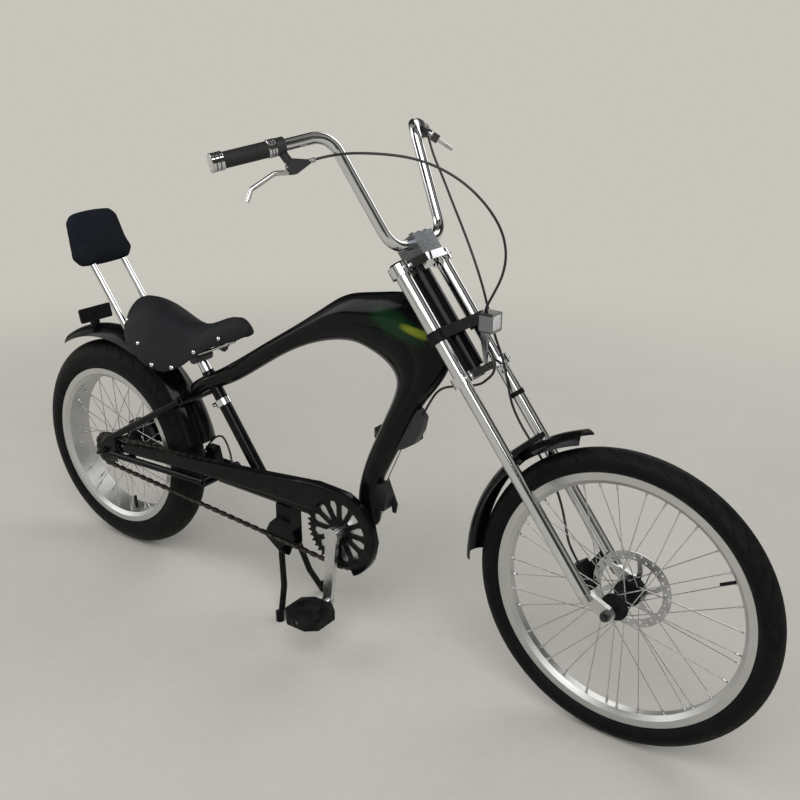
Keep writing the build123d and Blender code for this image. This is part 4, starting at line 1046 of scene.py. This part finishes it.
class CHOPPER_OT_lamp_lens(bpy.types.Operator):
    """Ribbed lens of the lamp"""
    bl_idname = "chopper.lamp_lens"
    bl_label = "Lamp lens"

    def execute(self, context):
        made, tree, shader, here = blank("lens", IOR=1.49, Roughness=0.08)
        parts = split(here)
        grid = maths("MAXIMUM", maths("SINE", times(parts[1], 2200.0)), maths("SINE", times(parts[2], 2200.0)))
        base = tint(ramp(grid, -1.0, 1.0), (0.45, 0.45, 0.46, 1), (0.75, 0.75, 0.76, 1))
        link(base, shader.inputs["Base Color"])
        bump(shader, grid, 0.5, 0.0005)
        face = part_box("lamp")[1][0]
        middle = steer(*LAMP)
        yy, zz = np.meshgrid(np.linspace(-1, 1, 15), np.linspace(-1, 1, 15), indexing="ij")
        crown = 0.0022 * (1 - yy ** 4) * (1 - zz ** 4)
        front = np.stack([face - 0.0006 + crown, yy * 0.0155, middle[2] + zz * 0.0155], -1)
        back = np.stack([np.full_like(yy, face - 0.0016), yy * 0.0155, middle[2] + zz * 0.0155], -1)
        ring = np.concatenate([front, back[:, ::-1]], 1)
        lens = piece("lamp_lens", [(ring, grid_faces(15, 30, closed_columns=True))], angle=math.radians(40))
        wear(lens, made)
        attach(lens, "steering")
        return {"FINISHED"}


# Camera fitted to the photograph: yaw, pitch and roll in radians, lens in mm, place in metres
CAMERA_TURN = (0.614672121, 0.361926290, -0.00788932248)
CAMERA_LENS = 46.5595
CAMERA_PLACE = (1.314617, -1.625158, 1.342284)


class CHOPPER_OT_studio(bpy.types.Operator):
    """Camera at the photograph's angle, pale floor, soft lights and background"""
    bl_idname = "chopper.studio"
    bl_label = "Studio"

    def execute(self, context):
        look = context.scene.chopper_studio
        scene = context.scene
        yaw, pitch, roll = CAMERA_TURN
        ahead = np.array([-math.sin(yaw) * math.cos(pitch), math.cos(yaw) * math.cos(pitch), -math.sin(pitch)])
        level = np.array([math.cos(yaw), math.sin(yaw), 0])
        below = np.cross(ahead, level)
        right = math.cos(roll) * level + math.sin(roll) * below
        down = -math.sin(roll) * level + math.cos(roll) * below
        camera = bpy.data.objects.new("camera", bpy.data.cameras.new("camera"))
        camera.data.lens = CAMERA_LENS
        camera.data.sensor_width = 36.0
        camera.matrix_world = Matrix([[right[i], -down[i], -ahead[i], CAMERA_PLACE[i]] for i in range(3)]
                                     + [[0, 0, 0, 1]])
        scene.collection.objects.link(camera)
        scene.camera = camera

        made, tree, shader, here = blank("floor", Roughness=0.75, Specular_IOR_Level=0.2)
        patch = mottle(here, 2.2, 0.0, 1.0)
        speck = mottle(here, 38.0, 0.0, 0.4)
        pale, dull = tuple(look.floor), tuple(c * 0.90 for c in look.floor[:3]) + (1,)
        base = tint(plus(times(patch, 0.6), speck, clamp=True), pale, dull)
        link(base, shader.inputs["Base Color"])
        bump(shader, patch, 0.05, 0.002)
        glow = node(tree, "Emission", {"Color": pale, "Strength": 1.0})
        parts = split(here)
        far = maths("SQRT", plus(times(parts[0], parts[0]), times(parts[1], parts[1])))
        fade = ramp(far, 1.3, 3.4)
        mix = node(tree, "MixShader", {0: fade, 1: shader.outputs[0], 2: glow.outputs[0]})
        link(mix.outputs[0], tree.nodes["Material Output"].inputs["Surface"])
        turn = np.linspace(0, 2 * math.pi, 64, endpoint=False)
        rings = np.array([0.0, 0.5, 1.0, 2.0, 4.0, 8.0, 30.0])
        points = np.stack([rings[:, None] * np.cos(turn), rings[:, None] * np.sin(turn),
                           np.zeros((len(rings), len(turn)))], -1)
        floor = piece("floor", [(points, grid_faces(len(rings), len(turn), closed_columns=True))])
        if floor.data.polygons[0].normal.z < 0:
            floor.data.flip_normals()
        wear(floor, made)

        world = bpy.data.worlds.new("studio")
        scene.world = world
        world.use_nodes = True
        tree = world.node_tree
        tree.nodes.clear()
        path = node(tree, "LightPath").outputs
        seen = maths("MAXIMUM", maths("MAXIMUM", path["Is Camera Ray"], path["Is Glossy Ray"]),
                     path["Is Transmission Ray"])
        shown = node(tree, "Background", {"Color": pale, "Strength": 1.0})
        way = split(node(tree, "TexCoord").outputs["Generated"])
        round_it = maths("ARCTAN2", way[1], way[0])
        panels = maths("SINE", plus(times(round_it, 4.0), 0.6))
        panels = times(ramp(panels, -0.35, 0.45, 0.10, 1.0), ramp(way[2], 0.0, 0.75, 1.0, 0.55))
        mirrored = node(tree, "Background", {"Color": pale, "Strength": panels})
        direct = maths("MAXIMUM", path["Is Camera Ray"], path["Is Transmission Ray"])
        shown = node(tree, "MixShader", {0: direct, 1: mirrored.outputs[0], 2: shown.outputs[0]})
        light = node(tree, "Background", {"Color": (0.95, 0.97, 1.0, 1), "Strength": 0.42})
        mix = node(tree, "MixShader", {0: seen, 1: light.outputs[0], 2: shown.outputs[0]})
        out = node(tree, "OutputWorld")
        link(mix.outputs[0], out.inputs[0])

        for name, power, size, spot, aim in (
                ("key", look.key, 2.6, (1.6, -2.2, 3.2), (0, 0, 0.4)),
                ("fill", look.fill, 2.2, (-2.6, -1.6, 2.2), (0, 0, 0.5)),
                ("back", look.fill, 2.6, (0.2, 2.8, 2.6), (0, 0, 0.5))):
            lamp = bpy.data.lights.new(name, "AREA")
            lamp.energy = power
            lamp.size = size
            made = bpy.data.objects.new(name, lamp)
            made.location = spot
            made.rotation_euler = (Vector(aim) - Vector(spot)).to_track_quat("-Z", "Y").to_euler()
            scene.collection.objects.link(made)
        scene.view_settings.view_transform = "Standard"
        return {"FINISHED"}


class CHOPPER_PT_panel(bpy.types.Panel):
    """Sizes, colours and steps of the dressing"""
    bl_idname = "CHOPPER_PT_panel"
    bl_label = "Chopper bicycle"
    bl_space_type = "VIEW_3D"
    bl_region_type = "UI"
    bl_category = "Chopper"

    def draw(self, context):
        for holder in ("chopper_paint", "chopper_seat", "chopper_cable", "chopper_studio"):
            box = self.layout.box()
            group_of = getattr(context.scene, holder)
            for name in group_of.bl_rna.properties.keys():
                if name not in ("rna_type", "name"):
                    box.prop(group_of, name)
        for operator in OPERATORS:
            self.layout.operator(operator.bl_idname)


SETTINGS = (("chopper_paint", PaintSettings), ("chopper_seat", SeatSettings), ("chopper_cable", CableSettings),
            ("chopper_studio", StudioSettings))
OPERATORS = (CHOPPER_OT_finishes, CHOPPER_OT_saddle, CHOPPER_OT_backrest, CHOPPER_OT_cables, CHOPPER_OT_grip_rings,
             CHOPPER_OT_guard, CHOPPER_OT_nipples, CHOPPER_OT_fasteners, CHOPPER_OT_lamp_lens, CHOPPER_OT_studio)


def register():
    for holder, kind in SETTINGS:
        bpy.utils.register_class(kind)
        setattr(bpy.types.Scene, holder, bpy.props.PointerProperty(type=kind))
    for kind in OPERATORS + (CHOPPER_PT_panel,):
        bpy.utils.register_class(kind)


def unregister():
    for kind in reversed(OPERATORS + (CHOPPER_PT_panel,)):
        bpy.utils.unregister_class(kind)
    for holder, kind in reversed(SETTINGS):
        delattr(bpy.types.Scene, holder)
        bpy.utils.unregister_class(kind)


def main():
    register()
    bpy.ops.chopper.finishes()
    bpy.ops.chopper.saddle()
    bpy.ops.chopper.backrest()
    bpy.ops.chopper.cables()
    bpy.ops.chopper.grip_rings()
    bpy.ops.chopper.guard()
    bpy.ops.chopper.nipples()
    bpy.ops.chopper.fasteners()
    bpy.ops.chopper.lamp_lens()
    bpy.ops.chopper.studio()


if __name__ == "__main__":
    main()
